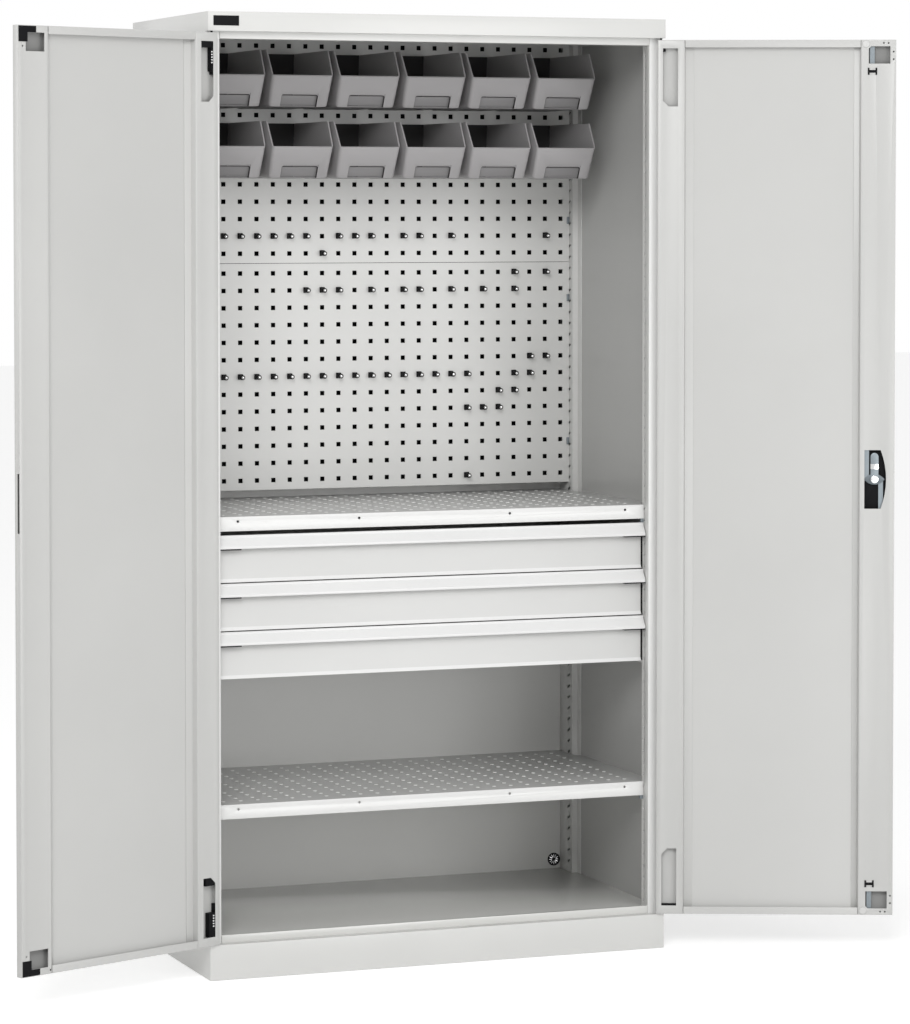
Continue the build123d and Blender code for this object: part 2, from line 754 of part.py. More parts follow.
def hinge_stile():
    """Folded stile on the hinge side, stepped down on to the outer sheet."""
    d = DOOR_THICKNESS
    t = DOOR_SHEET
    slope = (HINGE_STILE + STILE_SLOPE, 2 * t)
    section = folded([(HINGE_STILE + HINGE_FOOT, 2 * t), slope, (HINGE_STILE, d), (t, d)], t)
    stile = raised(section, DOOR_LOW + t, DOOR_HIGH - t)
    s = (HINGE_SLOT_START, HINGE_SLOT_START + HINGE_SLOT_WIDTH)
    z = (DOOR_HIGH - HINGE_SLOT_END - HINGE_SLOT_HEIGHT, DOOR_HIGH - HINGE_SLOT_END)
    slot = chamfered(s, z, (s[0], z[0]), HINGE_SLOT_CHAMFER)
    return stile - both_ends(cutter(slot, (INNER - t, d + t)))


def lock_window():
    """Opening over the cam: straight to the hinge side, bulging to the free side."""
    z = (LOCK_HEIGHT - WINDOW_HEIGHT / 2, LOCK_HEIGHT + WINDOW_HEIGHT / 2)
    edge = [
        Line((LOCK_S - WINDOW_NEAR, z[0]), (LOCK_S + WINDOW_FLAT, z[0])),
        ThreePointArc(
            (LOCK_S + WINDOW_FLAT, z[0]),
            (LOCK_S + WINDOW_FAR, LOCK_HEIGHT),
            (LOCK_S + WINDOW_FLAT, z[1]),
        ),
        Line((LOCK_S + WINDOW_FLAT, z[1]), (LOCK_S - WINDOW_NEAR, z[1])),
        Line((LOCK_S - WINDOW_NEAR, z[1]), (LOCK_S - WINDOW_NEAR, z[0])),
    ]
    return make_face(edge)


def guide_neck(grow=0.0):
    """Limits in S and Z of the upper rod guide's neck."""
    half = GUIDE_WIDTH / 2 - GUIDE_FLANGE + grow
    z = DOOR_HIGH - GUIDE_END
    reach = GUIDE_HEIGHT / 2 - GUIDE_FLANGE / 2 + grow
    return (ROD_S - half, ROD_S + half), (z - reach, z + reach)


def lock_stile(side):
    """Folded stile on the free side, with its access openings."""
    d = DOOR_THICKNESS
    t = DOOR_SHEET
    start = DOOR_WIDTH - LOCK_STILE
    slope = (start - STILE_SLOPE, 2 * t)
    section = folded([(DOOR_WIDTH - t, d), (start, d), slope, (start - LOCK_FOOT, 2 * t)], t)
    stile = raised(section, DOOR_LOW + t, DOOR_HIGH - t)
    edge = ACCESS_EDGE_LEFT if side == "left" else ACCESS_EDGE_RIGHT
    s = (DOOR_WIDTH - edge - ACCESS_WIDTH, DOOR_WIDTH - edge)
    z = (DOOR_HIGH - ACCESS_END - ACCESS_HEIGHT, DOOR_HIGH - ACCESS_END)
    through = (INNER - t, d + t)
    if side == "left":
        return stile - both_ends(slab(s, through, z))
    square = chamfered(s, z, (s[0], z[1]), ACCESS_CHAMFER)
    stile -= both_ends(cutter(square, through))
    stile -= cutter(lock_window(), through)
    neck_s, neck_z = guide_neck()
    return stile - both_ends(slab(neck_s, through, neck_z))


def hinge_bodies():
    """Plastic hinge blocks inside the stile, seated in notches in the door's ends."""
    t = DOOR_SHEET
    s = (t, t + HINGE_BODY_WIDTH)
    return both_ends(slab(s, (t, INNER), (DOOR_HIGH - HINGE_BODY_HEIGHT, DOOR_HIGH)))


def hinge_pins():
    """Pins that stand on the hinge blocks and turn in the cap's flange and the plinth's deck."""
    pins = []
    for low, high in (
        (DOOR_HIGH, CAP_BASE + PIN_ENGAGEMENT),
        (PLINTH_HEIGHT - PIN_ENGAGEMENT, DOOR_LOW),
    ):
        pins.append(Pos(PIVOT_S, PIVOT_D, (low + high) / 2) * Cylinder(PIN_RADIUS, high - low))
    return pins


def corner_pieces():
    """Angled plastic pieces in the left door's free corners."""
    high = DOOR_HIGH - CORNER_MARGIN
    far = DOOR_WIDTH - CORNER_MARGIN
    angle = outline(
        (far - CORNER_LENGTH, high),
        (far - CORNER_LENGTH, high - CORNER_WIDTH),
        (far - CORNER_LEG_WIDTH, high - CORNER_WIDTH),
        (far - CORNER_LEG_WIDTH, high - CORNER_LEG),
        (far, high - CORNER_LEG),
        (far, high),
    )
    face = (DOOR_THICKNESS, DOOR_THICKNESS + CORNER_THICKNESS)
    return both_ends(cutter(angle, face))


def door_buffers():
    """Round stops that meet the head rail and the floor's lip."""
    s = DOOR_WIDTH - BUFFER_EDGE
    z = DOOR_HIGH - BUFFER_END
    face = (DOOR_THICKNESS, DOOR_THICKNESS + BUFFER_THICKNESS)
    return both_ends(disc(s, z, BUFFER_RADIUS, face))


def rod_guides():
    """Plastic guides set in the lock stile, each round a rod."""
    z = DOOR_HIGH - GUIDE_END
    plate = slab(
        (ROD_S - GUIDE_WIDTH / 2, ROD_S + GUIDE_WIDTH / 2),
        (DOOR_THICKNESS, DOOR_THICKNESS + GUIDE_PLATE),
        (z - GUIDE_HEIGHT / 2, z + GUIDE_HEIGHT / 2),
    )
    neck_s, neck_z = guide_neck()
    guide = plate + slab(neck_s, (ROD_DEPTH - 2, DOOR_THICKNESS), neck_z)
    half = ROD_WIDTH / 2 + ROD_CLEARANCE / 4
    near = ROD_DEPTH - ROD_CLEARANCE / 4
    passage = (near, near + ROD_THICKNESS + ROD_CLEARANCE / 2)
    return both_ends(guide - slab((ROD_S - half, ROD_S + half), passage, neck_z))


# ---------------------------------------------------------------- lock
def neck(d):
    """Square neck of the lock housing between two depths."""
    half = NECK_SIZE / 2
    return slab((LOCK_S - half, LOCK_S + half), d, (LOCK_HEIGHT - half, LOCK_HEIGHT + half))


def lock_housing():
    """Plate inside the door, a neck through the outer sheet and an escutcheon."""
    t = DOOR_SHEET
    half_s, half_z = HOUSING_WIDTH / 2, HOUSING_HEIGHT / 2
    body = slab(
        (LOCK_S - half_s, LOCK_S + half_s),
        (t, t + HOUSING_DEPTH),
        (LOCK_HEIGHT - half_z, LOCK_HEIGHT + half_z),
    )
    body += neck((0, t))
    half_s, half_z = ESCUTCHEON_WIDTH / 2, ESCUTCHEON_HEIGHT / 2
    body += slab(
        (LOCK_S - half_s, LOCK_S + half_s),
        (-ESCUTCHEON_THICKNESS, 0),
        (LOCK_HEIGHT - half_z, LOCK_HEIGHT + half_z),
    )
    bore = SPINDLE_RADIUS + SPINDLE_CLEARANCE
    through = (-ESCUTCHEON_THICKNESS, t + HOUSING_DEPTH)
    return body - disc(LOCK_S, LOCK_HEIGHT, bore, through)


def cam_near():
    return ROD_DEPTH + ROD_THICKNESS + ROD_CLEARANCE


def hub_far():
    return -ESCUTCHEON_THICKNESS - GRIP_CLEARANCE


def shank(d):
    """The spindle's square end between two depths."""
    half = SHANK / 2
    return slab((LOCK_S - half, LOCK_S + half), d, (LOCK_HEIGHT - half, LOCK_HEIGHT + half))


def latch_spindle():
    """Spindle, round in the housing and square in the cam, with the bolt head that clamps it."""
    round_end = DOOR_SHEET + HOUSING_DEPTH
    head = cam_near() + 2 * CAM_SHEET
    spindle = disc(LOCK_S, LOCK_HEIGHT, SPINDLE_RADIUS, (hub_far(), round_end))
    spindle += shank((round_end, head))
    return spindle + disc(LOCK_S, LOCK_HEIGHT, BOLT_RADIUS, (head, head + BOLT_HEAD))


def latch_handle():
    """T-grip outside the door, on a round hub."""
    far = hub_far() - GRIP_STANDOFF
    near = far - GRIP_THICKNESS
    half_s, half_z = GRIP_LENGTH / 2, GRIP_WIDTH / 2
    flat_s, flat_z = half_s - GRIP_CHAMFER, half_z - GRIP_CHAMFER
    corners = [(flat_s, -half_z), (half_s, -flat_z), (half_s, flat_z), (flat_s, half_z)]
    grip = outline(*corners, *((-x, -y) for x, y in corners))
    hub = disc(LOCK_S, LOCK_HEIGHT, HUB_RADIUS, (far, hub_far()))
    return cutter(Pos(LOCK_S, LOCK_HEIGHT) * grip, (near, far)) + hub


def latch_cam():
    """Pointed oval plate that drives the rods."""
    half_l, half_h = CAM_LENGTH / 2, CAM_HEIGHT / 2
    left, right = (LOCK_S - half_l, LOCK_HEIGHT), (LOCK_S + half_l, LOCK_HEIGHT)
    edge = [
        ThreePointArc(left, (LOCK_S, LOCK_HEIGHT + half_h), right),
        ThreePointArc(right, (LOCK_S, LOCK_HEIGHT - half_h), left),
    ]
    near = cam_near()
    plate = cutter(make_face(edge), (near, near + CAM_SHEET))
    return plate - shank((near, near + CAM_SHEET))


def latch_lever():
    """Upright strip on the cam, with a rounded end."""
    near = cam_near() + CAM_SHEET
    half = LEVER_WIDTH / 2
    length = LEVER_HEIGHT + half
    middle = LOCK_HEIGHT + LEVER_HEIGHT - length / 2
    strip = Pos(LOCK_S, middle) * Rot(0, 0, 90) * SlotOverall(length, LEVER_WIDTH)
    plate = cutter(strip, (near, near + CAM_SHEET))
    return plate - shank((near, near + CAM_SHEET))


def lock_rod(offset_s, end, up):
    """Flat rod, jogged sideways near the cam; up is 1 for the upper rod and -1 for the lower."""
    near_s, far_s, half = LOCK_S + offset_s, ROD_S, ROD_WIDTH / 2
    z0 = LOCK_HEIGHT - up * 3
    z1 = LOCK_HEIGHT + up * ROD_JOG_START
    z2 = z1 + up * ROD_JOG_HEIGHT
    strip = outline(
        (near_s - half, z0),
        (near_s - half, z1),
        (far_s - half, z2),
        (far_s - half, end),
        (far_s + half, end),
        (far_s + half, z2),
        (near_s + half, z1),
        (near_s + half, z0),
    )
    return cutter(strip, (ROD_DEPTH, ROD_DEPTH + ROD_THICKNESS))


# ---------------------------------------------------------------- nodes
save("plinth", plinth())
save("base_floor", base_floor())
save("side_panel_left", side_panel())
save("side_panel_right", mirror(side_panel(), about=Plane.YZ))
save("back_panel", back_panel())
save("top_cap", top_cap())
save("head_rail", head_rail())
save("cable_grommet", cable_grommet())
save("rear_uprights", *mirrored(rear_upright()))
save("perforated_panel_lower", perforated_panel(PANEL_BASE, lower_holes()))
save("perforated_panel_upper", perforated_panel(UPPER_PANEL_BASE, upper_holes()))
save("panel_clips", *panel_clips())
save("bins_lower_row", *bin_row(BIN_HOOK_ROWS[0]))
save("bins_upper_row", *bin_row(BIN_HOOK_ROWS[1]))
save("tool_hooks", *tool_hooks())
save("shelf_upper", shelf(SHELF_TOP))
save("shelf_lower", shelf(SHELF_TOP - SHELF_STEP))
save("shelf_clips", *shelf_clips())
save("drawer_carriers", *drawer_carriers())
save("drawer_outer_runners", *outer_runners())
for number in range(1, DRAWER_COUNT + 1):
    top = drawer_top(number)
    save(f"drawer_{number}_front", drawer_front(top))
    save(f"drawer_{number}_handle", drawer_handle(top))
    save(f"drawer_{number}_box", drawer_box(top))
    save(f"drawer_{number}_inner_runners", *inner_runners(top))
    save(f"drawer_{number}_middle_runners", *middle_runners(top))
for side in ("left", "right"):
    save(f"door_{side}_skin", *hung(door_skin(side), side=side))
    save(f"door_{side}_hinge_stile", *hung(hinge_stile(), side=side))
    save(f"door_{side}_lock_stile", *hung(lock_stile(side), side=side))
    save(f"door_{side}_hinge_bodies", *hung(*hinge_bodies(), side=side))
    save(f"door_{side}_hinge_pins", *hung(*hinge_pins(), side=side))
save("door_left_corner_pieces", *hung(*corner_pieces(), side="left"))
save("door_right_buffers", *hung(*door_buffers(), side="right"))
save("door_right_rod_guides", *hung(*rod_guides(), side="right"))
save("lock_housing", *hung(lock_housing(), side="right"))
save("latch_spindle", *hung(latch_spindle(), side="right"))
save("latch_handle", *hung(latch_handle(), side="right"))
save("latch_cam", *hung(latch_cam(), side="right"))
save("latch_lever", *hung(latch_lever(), side="right"))
upper_end = DOOR_HIGH - ROD_REST_GAP
lower_end = DOOR_LOW + ROD_REST_GAP
save("lock_rod_upper", *hung(lock_rod(-ROD_UPPER_OFFSET, upper_end, 1), side="right"))
save("lock_rod_lower", *hung(lock_rod(ROD_LOWER_OFFSET, lower_end, -1), side="right"))
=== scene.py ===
# %% [markdown]
# # A steel tool cabinet, dressed for the studio
# The solids of this cabinet come from a CAD model. They carry its joints and its true sizes, so
# they are loaded as they are and never moved. This lesson adds what a drawing leaves out: paint,
# punched holes, small fittings and light. The box round the bare solids is noted first.

import json
import math

import bmesh
import bpy
from mathutils import Matrix, Vector


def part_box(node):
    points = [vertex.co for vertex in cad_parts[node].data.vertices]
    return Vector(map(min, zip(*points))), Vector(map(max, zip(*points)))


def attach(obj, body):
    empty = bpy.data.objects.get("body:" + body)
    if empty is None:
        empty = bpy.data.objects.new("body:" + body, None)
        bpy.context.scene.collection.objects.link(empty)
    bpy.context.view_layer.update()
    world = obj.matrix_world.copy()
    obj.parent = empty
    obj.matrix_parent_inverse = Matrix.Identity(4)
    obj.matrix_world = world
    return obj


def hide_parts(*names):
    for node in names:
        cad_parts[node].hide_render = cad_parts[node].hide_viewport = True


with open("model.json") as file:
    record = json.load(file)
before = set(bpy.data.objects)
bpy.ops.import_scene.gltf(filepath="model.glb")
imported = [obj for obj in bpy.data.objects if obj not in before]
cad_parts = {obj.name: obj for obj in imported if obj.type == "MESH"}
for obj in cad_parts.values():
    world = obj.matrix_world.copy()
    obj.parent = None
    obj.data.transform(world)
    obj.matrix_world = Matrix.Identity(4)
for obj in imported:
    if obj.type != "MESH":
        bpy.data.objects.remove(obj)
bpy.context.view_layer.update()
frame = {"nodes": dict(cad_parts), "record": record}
NODE_SLOT = {row["node"]: row["material_slot"] for row in frame["record"]["subparts"]}
NODE_BODY = {
    node: body for body, nodes in frame["record"]["behaviour"]["bodies"].items() for node in nodes
}

# %% [markdown]
# ## Where things are
# A cabinet is easiest to dress by its own planes: how far something stands from the side, how far
# behind the front plane, how high. The plinth and the cap give the outer planes. Lengths below
# are metres, and `MM` turns millimetres into them. `CLOSE` is how near counts as the same place,
# `SQUARE_ON` how far a face's normal must point along an axis, and the three edges are the
# roundings used most.

# %% Planes of the carcass
MM = 0.001
cap_low, cap_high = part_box("top_cap")
post_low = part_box("side_panel_right")[0]
upright_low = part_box("rear_uprights")[0]
panel_low, panel_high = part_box("perforated_panel_lower")
SIDE = cap_high[0]
FRONT = cap_low[1]
BACK = cap_high[1]
POST = post_low[0]
PANEL_FACE = panel_low[1]
UPRIGHT = panel_high[0]
HOLE_PITCH = 38 * MM
SHEET = 1.5 * MM
CLOSE = 0.1 * MM
SQUARE_ON = 0.9
FINE_EDGE = 0.4 * MM
PLAIN_EDGE = 0.5 * MM
WIDE_EDGE = 0.6 * MM
print("half width", SIDE, "depth", BACK - FRONT, "post face", SIDE - POST)

# %% [markdown]
# ## Small habits that keep operators predictable
# Operators in Blender act on whatever is selected. Each helper below therefore starts from an
# empty selection and leaves its object at the origin, with its place in its mesh.


# %% Selection and place
def only(piece):
    """Selects one object and makes it the active one."""
    bpy.ops.object.select_all(action="DESELECT")
    piece.select_set(True)
    bpy.context.view_layer.objects.active = piece
    return piece


def settle(piece, name=None):
    """Puts an object's place, turn and scale into its mesh."""
    only(piece)
    bpy.ops.object.transform_apply(location=True, rotation=True, scale=True)
    if name:
        piece.name = name
    return piece


print("helpers for selection and place are ready")

# %% [markdown]
# ## Simple shapes
# Most fittings start as a box, a cylinder or a ball. Each one is added at its true size, joined
# to others where they make one piece, and moved by its mesh.


# %% Boxes, rods and balls
def block(name, low, high):
    """A box between two corners."""
    bpy.ops.object.select_all(action="DESELECT")
    middle = [(a + b) / 2 for a, b in zip(low, high)]
    bpy.ops.mesh.primitive_cube_add(size=1, location=middle)
    piece = bpy.context.object
    piece.scale = [b - a for a, b in zip(low, high)]
    return settle(piece, name)


def rod(name, start, end, radius, vertices=24):
    """A cylinder between two points."""
    start, end = Vector(start), Vector(end)
    bpy.ops.object.select_all(action="DESELECT")
    bpy.ops.mesh.primitive_cylinder_add(
        vertices=vertices, radius=radius, depth=(end - start).length, location=(start + end) / 2
    )
    piece = bpy.context.object
    piece.rotation_euler = (end - start).to_track_quat("Z", "Y").to_euler()
    return settle(piece, name)


def ball(name, place, radius):
    """A small sphere."""
    bpy.ops.object.select_all(action="DESELECT")
    bpy.ops.mesh.primitive_uv_sphere_add(segments=20, ring_count=12, radius=radius, location=place)
    return settle(bpy.context.object, name)


def merged(name, pieces):
    """Several objects joined into one."""
    only(pieces[0])
    for piece in pieces[1:]:
        piece.select_set(True)
    bpy.ops.object.join()
    pieces[0].name = name
    return pieces[0]


def moved(piece, offset):
    """Moves an object's mesh."""
    piece.location = offset
    return settle(piece)


def twin(piece, name=None):
    """A second object with its own copy of the mesh."""
    copy = bpy.data.objects.new(name or piece.name, piece.data.copy())
    bpy.context.collection.objects.link(copy)
    return copy


print("helpers for shapes are ready")

# %% [markdown]
# ## Modifiers that are applied at once
# Array repeats, Boolean punches and Bevel rounds. Each is added, set and applied, so that the
# next step works on plain geometry. A bevel limited by angle rounds every fold, and one limited
# by weight rounds only the edges that are marked.


# %% Repeating, rounding, cutting
def apply_modifier(piece, kind, **settings):
    """Adds a modifier with these settings and applies it."""
    only(piece)
    modifier = piece.modifiers.new(kind.lower(), kind)
    for key, value in settings.items():
        setattr(modifier, key, value)
    bpy.ops.object.modifier_apply(modifier=modifier.name)
    return piece


def row_of(piece, count, step):
    """Repeats a piece along a step."""
    return apply_modifier(
        piece,
        "ARRAY",
        count=count,
        use_relative_offset=False,
        use_constant_offset=True,
        constant_offset_displace=step,
    )


def eased(piece, width, segments=2):
    """Rounds a piece's sharp edges and shades its curves smoothly."""
    apply_modifier(
        piece,
        "BEVEL",
        width=width,
        segments=segments,
        limit_method="ANGLE",
        angle_limit=math.radians(30),
    )
    only(piece)
    bpy.ops.object.shade_smooth_by_angle(angle=math.radians(35))
    return piece


print("helpers for modifiers are ready")

# %% [markdown]
# ## From CAD meshes to shapeable ones
# A mesh from CAD is loose triangles. A copy is merged and dissolved into clean faces before it is
# shaped, and the solid itself is left alone.


# %% Copies of solids
def cleaned(piece):
    """Merges a CAD mesh's loose triangles into flat faces that point outward."""
    only(piece)
    bpy.ops.object.mode_set(mode="EDIT")
    bpy.ops.mesh.select_all(action="SELECT")
    bpy.ops.mesh.remove_doubles(threshold=0.01 * MM)
    bpy.ops.mesh.dissolve_limited(angle_limit=math.radians(0.5))
    bpy.ops.mesh.normals_make_consistent(inside=False)
    bpy.ops.object.mode_set(mode="OBJECT")
    return piece


def copy_of(node, name=None):
    """A clean copy of a solid's mesh, to be shaped further."""
    return cleaned(twin(frame["nodes"][node], name or node + "_dressed"))


def punch(piece, cutters):
    """Cuts the joined cutters out of a piece."""
    tool = merged("cutter", cutters)
    apply_modifier(piece, "BOOLEAN", operation="DIFFERENCE", object=tool, solver="EXACT")
    bpy.data.objects.remove(tool)
    return piece


def split(piece, place, direction):
    """Adds an edge where a plane crosses the mesh, so that a face can change finish there."""
    mesh = bmesh.new()
    mesh.from_mesh(piece.data)
    geometry = [*mesh.verts, *mesh.edges, *mesh.faces]
    bmesh.ops.bisect_plane(mesh, geom=geometry, plane_co=place, plane_no=direction)
    mesh.to_mesh(piece.data)
    mesh.free()
    return piece


def second_finish(piece, material, chosen):
    """Gives the chosen faces another material; each is judged by its middle and its normal."""
    piece.data.materials.append(material)
    for face in piece.data.polygons:
        if chosen(face.center, face.normal):
            face.material_index = len(piece.data.materials) - 1
    return piece


def fold_radius(piece, width, chosen, segments=3):
    """Rounds the chosen edges with a larger radius; each is judged by its two ends."""
    weights = piece.data.attributes.new("bevel_weight_edge", "FLOAT", "EDGE")
    points = piece.data.vertices
    for edge in piece.data.edges:
        a, b = (points[index].co for index in edge.vertices)
        if chosen(a, b):
            weights.data[edge.index].value = 1
    settings = {"width": width, "segments": segments, "limit_method": "WEIGHT"}
    apply_modifier(piece, "BEVEL", **settings)
    piece.data.attributes.remove(piece.data.attributes["bevel_weight_edge"])
    return piece


print("helpers for copies of solids are ready")

# %% [markdown]
# ## Drawing on a shut door
# The doors stand open at an awkward angle. Anything on them is drawn as if the door were shut,
# with x from its hinge edge, y from its outer face and z as it hangs, and is then swung open about
# the hinge. The right door is the left one's reflection. A reflection turns a mesh inside out, so
# its normals are made consistent again.

# %% Planes of a shut door
hinge = next(j for j in frame["record"]["behaviour"]["joints"] if j["name"] == "left_door_hinge")
DOOR_ANGLE = math.radians(abs(hinge["range_deg"][0]))
PIVOT_FROM_EDGE = Vector((7 * MM, 5 * MM, 0))
DOOR_LOW, DOOR_HIGH = (corner[2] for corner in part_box("door_left_skin"))
DOOR_WIDTH = SIDE - 3 * MM
DOOR_THICKNESS = 16 * MM
LOCK_S = DOOR_WIDTH - 42.5 * MM
ROD_S = DOOR_WIDTH - 50.5 * MM
LOCK_Z = (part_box("latch_cam")[0][2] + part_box("latch_cam")[1][2]) / 2
print("door", DOOR_WIDTH, "wide, lock at", LOCK_Z)

# %% [markdown]
# ## Swinging a piece open
# One matrix carries a point of the shut door to the open one. Its inverse answers the opposite
# question: where on the shut door is this edge?


# %% Hanging pieces on a door
def swing(side):
    """The turn that opens a shut door."""
    pivot = Matrix.Translation((hinge["pos_m"][0], hinge["pos_m"][1], 0))
    turn = pivot @ Matrix.Rotation(-DOOR_ANGLE, 4, "Z") @ Matrix.Translation(-PIVOT_FROM_EDGE)
    return turn if side == "left" else Matrix.Scale(-1, 4, (1, 0, 0)) @ turn


def hang(piece, side):
    """Swings a piece drawn on the shut door to its place on the open door."""
    piece.matrix_world = swing(side) @ piece.matrix_world
    settle(piece)
    only(piece)
    bpy.ops.object.mode_set(mode="EDIT")
    bpy.ops.mesh.select_all(action="SELECT")
    bpy.ops.mesh.normals_make_consistent(inside=False)
    bpy.ops.object.mode_set(mode="OBJECT")
    return piece


def split_door(piece, side, s):
    """Adds an edge across a hung piece at a distance from the hinge edge."""
    turn = swing(side)
    return split(piece, turn @ Vector((s, 0, 0)), turn.to_3x3() @ Vector((1, 0, 0)))


def upright_edge(side, s, d):
    """A test for the edges that stand at this place of a hung door."""
    back = swing(side).inverted()

    def chosen(a, b):
        near = [abs((back @ point).x - s) + abs((back @ point).y - d) for point in (a, b)]
        return max(near) < CLOSE

    return chosen


# %% [markdown]
# ## Camera
# The camera stands to the left of the cabinet and a little above its middle, with a long lens.
# A view camera would keep upright edges nearly upright by raising its back, and the lens shift
# does the same here.

# %% Camera
CAMERA_PLACE = (-2.8546, -7.8565, 1.5999)
CAMERA_YAW = 20.83
CAMERA_PITCH = 2.26
CAMERA_LENS = 135.63
CAMERA_SHIFT = -0.1496
camera_data = bpy.data.cameras.new("studio camera")
camera_data.sensor_fit = "VERTICAL"
camera_data.sensor_height = 36
camera_data.lens = CAMERA_LENS
camera_data.shift_y = CAMERA_SHIFT
camera_data.clip_end = 100
camera = bpy.data.objects.new("studio camera", camera_data)
bpy.context.collection.objects.link(camera)
camera.location = CAMERA_PLACE
camera.rotation_euler = (math.radians(90 - CAMERA_PITCH), 0, math.radians(-CAMERA_YAW))
bpy.context.scene.camera = camera
bpy.context.scene.view_settings.view_transform = "Standard"
print("camera at", CAMERA_PLACE, "with a lens of", CAMERA_LENS, "mm")

# %% [markdown]
# ## Floor
# The floor gives off a little light toward the camera only, so it reaches white, apart from where
# the cabinet's soft shadow falls.

# %% Floor
FLOOR_GLOW = 0.35
FLOOR_SIZE = 60
FLOOR_DROP = 0.0005
FLOOR_TONE = (0.93, 0.93, 0.93, 1)


def pale_floor():
    """A large pale plane that looks white to the camera and keeps the shadow."""
    material = bpy.data.materials.new("pale floor")
    material.use_nodes = True
    nodes, links = material.node_tree.nodes, material.node_tree.links
    shader = nodes["Principled BSDF"]
    shader.inputs["Base Color"].default_value = FLOOR_TONE
    shader.inputs["Roughness"].default_value = 0.9
    shader.inputs["Specular IOR Level"].default_value = 0.1
    shader.inputs["Emission Color"].default_value = (1, 1, 1, 1)
    path = nodes.new("ShaderNodeLightPath")
    glow = nodes.new("ShaderNodeMath")
    glow.operation = "MULTIPLY"
    glow.inputs[1].default_value = FLOOR_GLOW
    links.new(path.outputs["Is Camera Ray"], glow.inputs[0])
    links.new(glow.outputs[0], shader.inputs["Emission Strength"])
    bpy.ops.object.select_all(action="DESELECT")
    bpy.ops.mesh.primitive_plane_add(size=FLOOR_SIZE, location=(0, 0, -FLOOR_DROP))
    floor = settle(bpy.context.object, "floor")
    floor.data.materials.append(material)


pale_floor()
print("floor laid")

# %% [markdown]
# ## Background
# The background is plain white where it is seen, mirrored or looked through. A Light Path node
# tells those rays from the ones that light the cabinet, which get a dimmer, even sky.

# %% World
WORLD_LIGHT = 0.6


def white_world():
    """White where it is seen or reflected, and a soft even light otherwise."""
    world = bpy.data.worlds.new("studio")
    bpy.context.scene.world = world
    world.use_nodes = True
    nodes, links = world.node_tree.nodes, world.node_tree.links
    nodes.clear()
    seen = nodes.new("ShaderNodeBackground")
    lit = nodes.new("ShaderNodeBackground")
    for background in (seen, lit):
        background.inputs["Color"].default_value = (1, 1, 1, 1)
    lit.inputs["Strength"].default_value = WORLD_LIGHT
    path = nodes.new("ShaderNodeLightPath")
    seen_or_mirrored = nodes.new("ShaderNodeMath")
    any_of_three = nodes.new("ShaderNodeMath")
    for node in (seen_or_mirrored, any_of_three):
        node.operation = "MAXIMUM"
    links.new(path.outputs["Is Camera Ray"], seen_or_mirrored.inputs[0])
    links.new(path.outputs["Is Glossy Ray"], seen_or_mirrored.inputs[1])
    links.new(seen_or_mirrored.outputs[0], any_of_three.inputs[0])
    links.new(path.outputs["Is Transmission Ray"], any_of_three.inputs[1])
    chooser = nodes.new("ShaderNodeMixShader")
    links.new(any_of_three.outputs[0], chooser.inputs[0])
    links.new(lit.outputs[0], chooser.inputs[1])
    links.new(seen.outputs[0], chooser.inputs[2])
    links.new(chooser.outputs[0], nodes.new("ShaderNodeOutputWorld").inputs[0])


white_world()
print("background set")

# %% [markdown]
# ## Lamps
# Large square lamps give soft shadows: a key from the upper left, a fill from the right, one at
# the left for the cabinet's side, and a low one that reaches under the shelves.


# %% Lamps
def soft_lamp(name, place, target, size, power):
    """A large square lamp turned toward a point."""
    data = bpy.data.lights.new(name, "AREA")
    data.size = size
    data.energy = power
    lamp = bpy.data.objects.new(name, data)
    bpy.context.collection.objects.link(lamp)
    lamp.location = place
    lamp.visible_camera = False
    aim = Vector(target) - Vector(place)
    lamp.rotation_euler = aim.to_track_quat("-Z", "Y").to_euler()


# Each row: name, place, the point it looks at, side in metres, power in watts.
LAMPS = (
    ("key lamp", (-2.8, -6.0, 4.4), (0, 0, 1.0), 2.6, 185),
    ("fill lamp", (2.6, -6.6, 2.1), (0, 0, 0.6), 3.0, 76),
    ("left lamp", (-5.5, 0.5, 2.6), (-0.5, 0, 1.0), 2.5, 55),
    ("low lamp", (0.4, -4.6, 0.35), (0, 0, 0.2), 2.0, 34),
)
for lamp in LAMPS:
    soft_lamp(*lamp)
print("lamps", len(bpy.data.lights))

# %% [markdown]
# ## Finishes
# Powder coat is not smooth: it has a faint orange-peel surface and tiny changes of tone. That
# effect is made once as a node group and placed in each paint with its own amounts.


# %% Shared surface effect
def grain_group():
    """Fine grain: a mask for tone and a height for bump, from object coordinates."""
    group = bpy.data.node_groups.new("fine grain", "ShaderNodeTree")
    group.interface.new_socket("Scale", in_out="INPUT", socket_type="NodeSocketFloat")
    group.interface.new_socket("Tone", in_out="OUTPUT", socket_type="NodeSocketFloat")
    group.interface.new_socket("Height", in_out="OUTPUT", socket_type="NodeSocketFloat")
    nodes, links = group.nodes, group.links
    source = nodes.new("NodeGroupInput")
    result = nodes.new("NodeGroupOutput")
    place = nodes.new("ShaderNodeTexCoord")
    fine = nodes.new("ShaderNodeTexNoise")
    fine.inputs["Detail"].default_value = 2
    broad = nodes.new("ShaderNodeTexNoise")
    broad.inputs["Scale"].default_value = 3
    broad.inputs["Detail"].default_value = 3
    links.new(place.outputs["Object"], fine.inputs["Vector"])
    links.new(place.outputs["Object"], broad.inputs["Vector"])
    links.new(source.outputs["Scale"], fine.inputs["Scale"])
    links.new(fine.outputs["Fac"], result.inputs["Height"])
    links.new(broad.outputs["Fac"], result.inputs["Tone"])
    return group


GRAIN = grain_group()
print("shared effect:", GRAIN.name)

# %% [markdown]
# ## A recipe for a finish
# Every finish is the same small graph: the group's tone runs through a colour ramp into the base
# colour, and its height through a Bump node into the normal. Only the amounts differ.


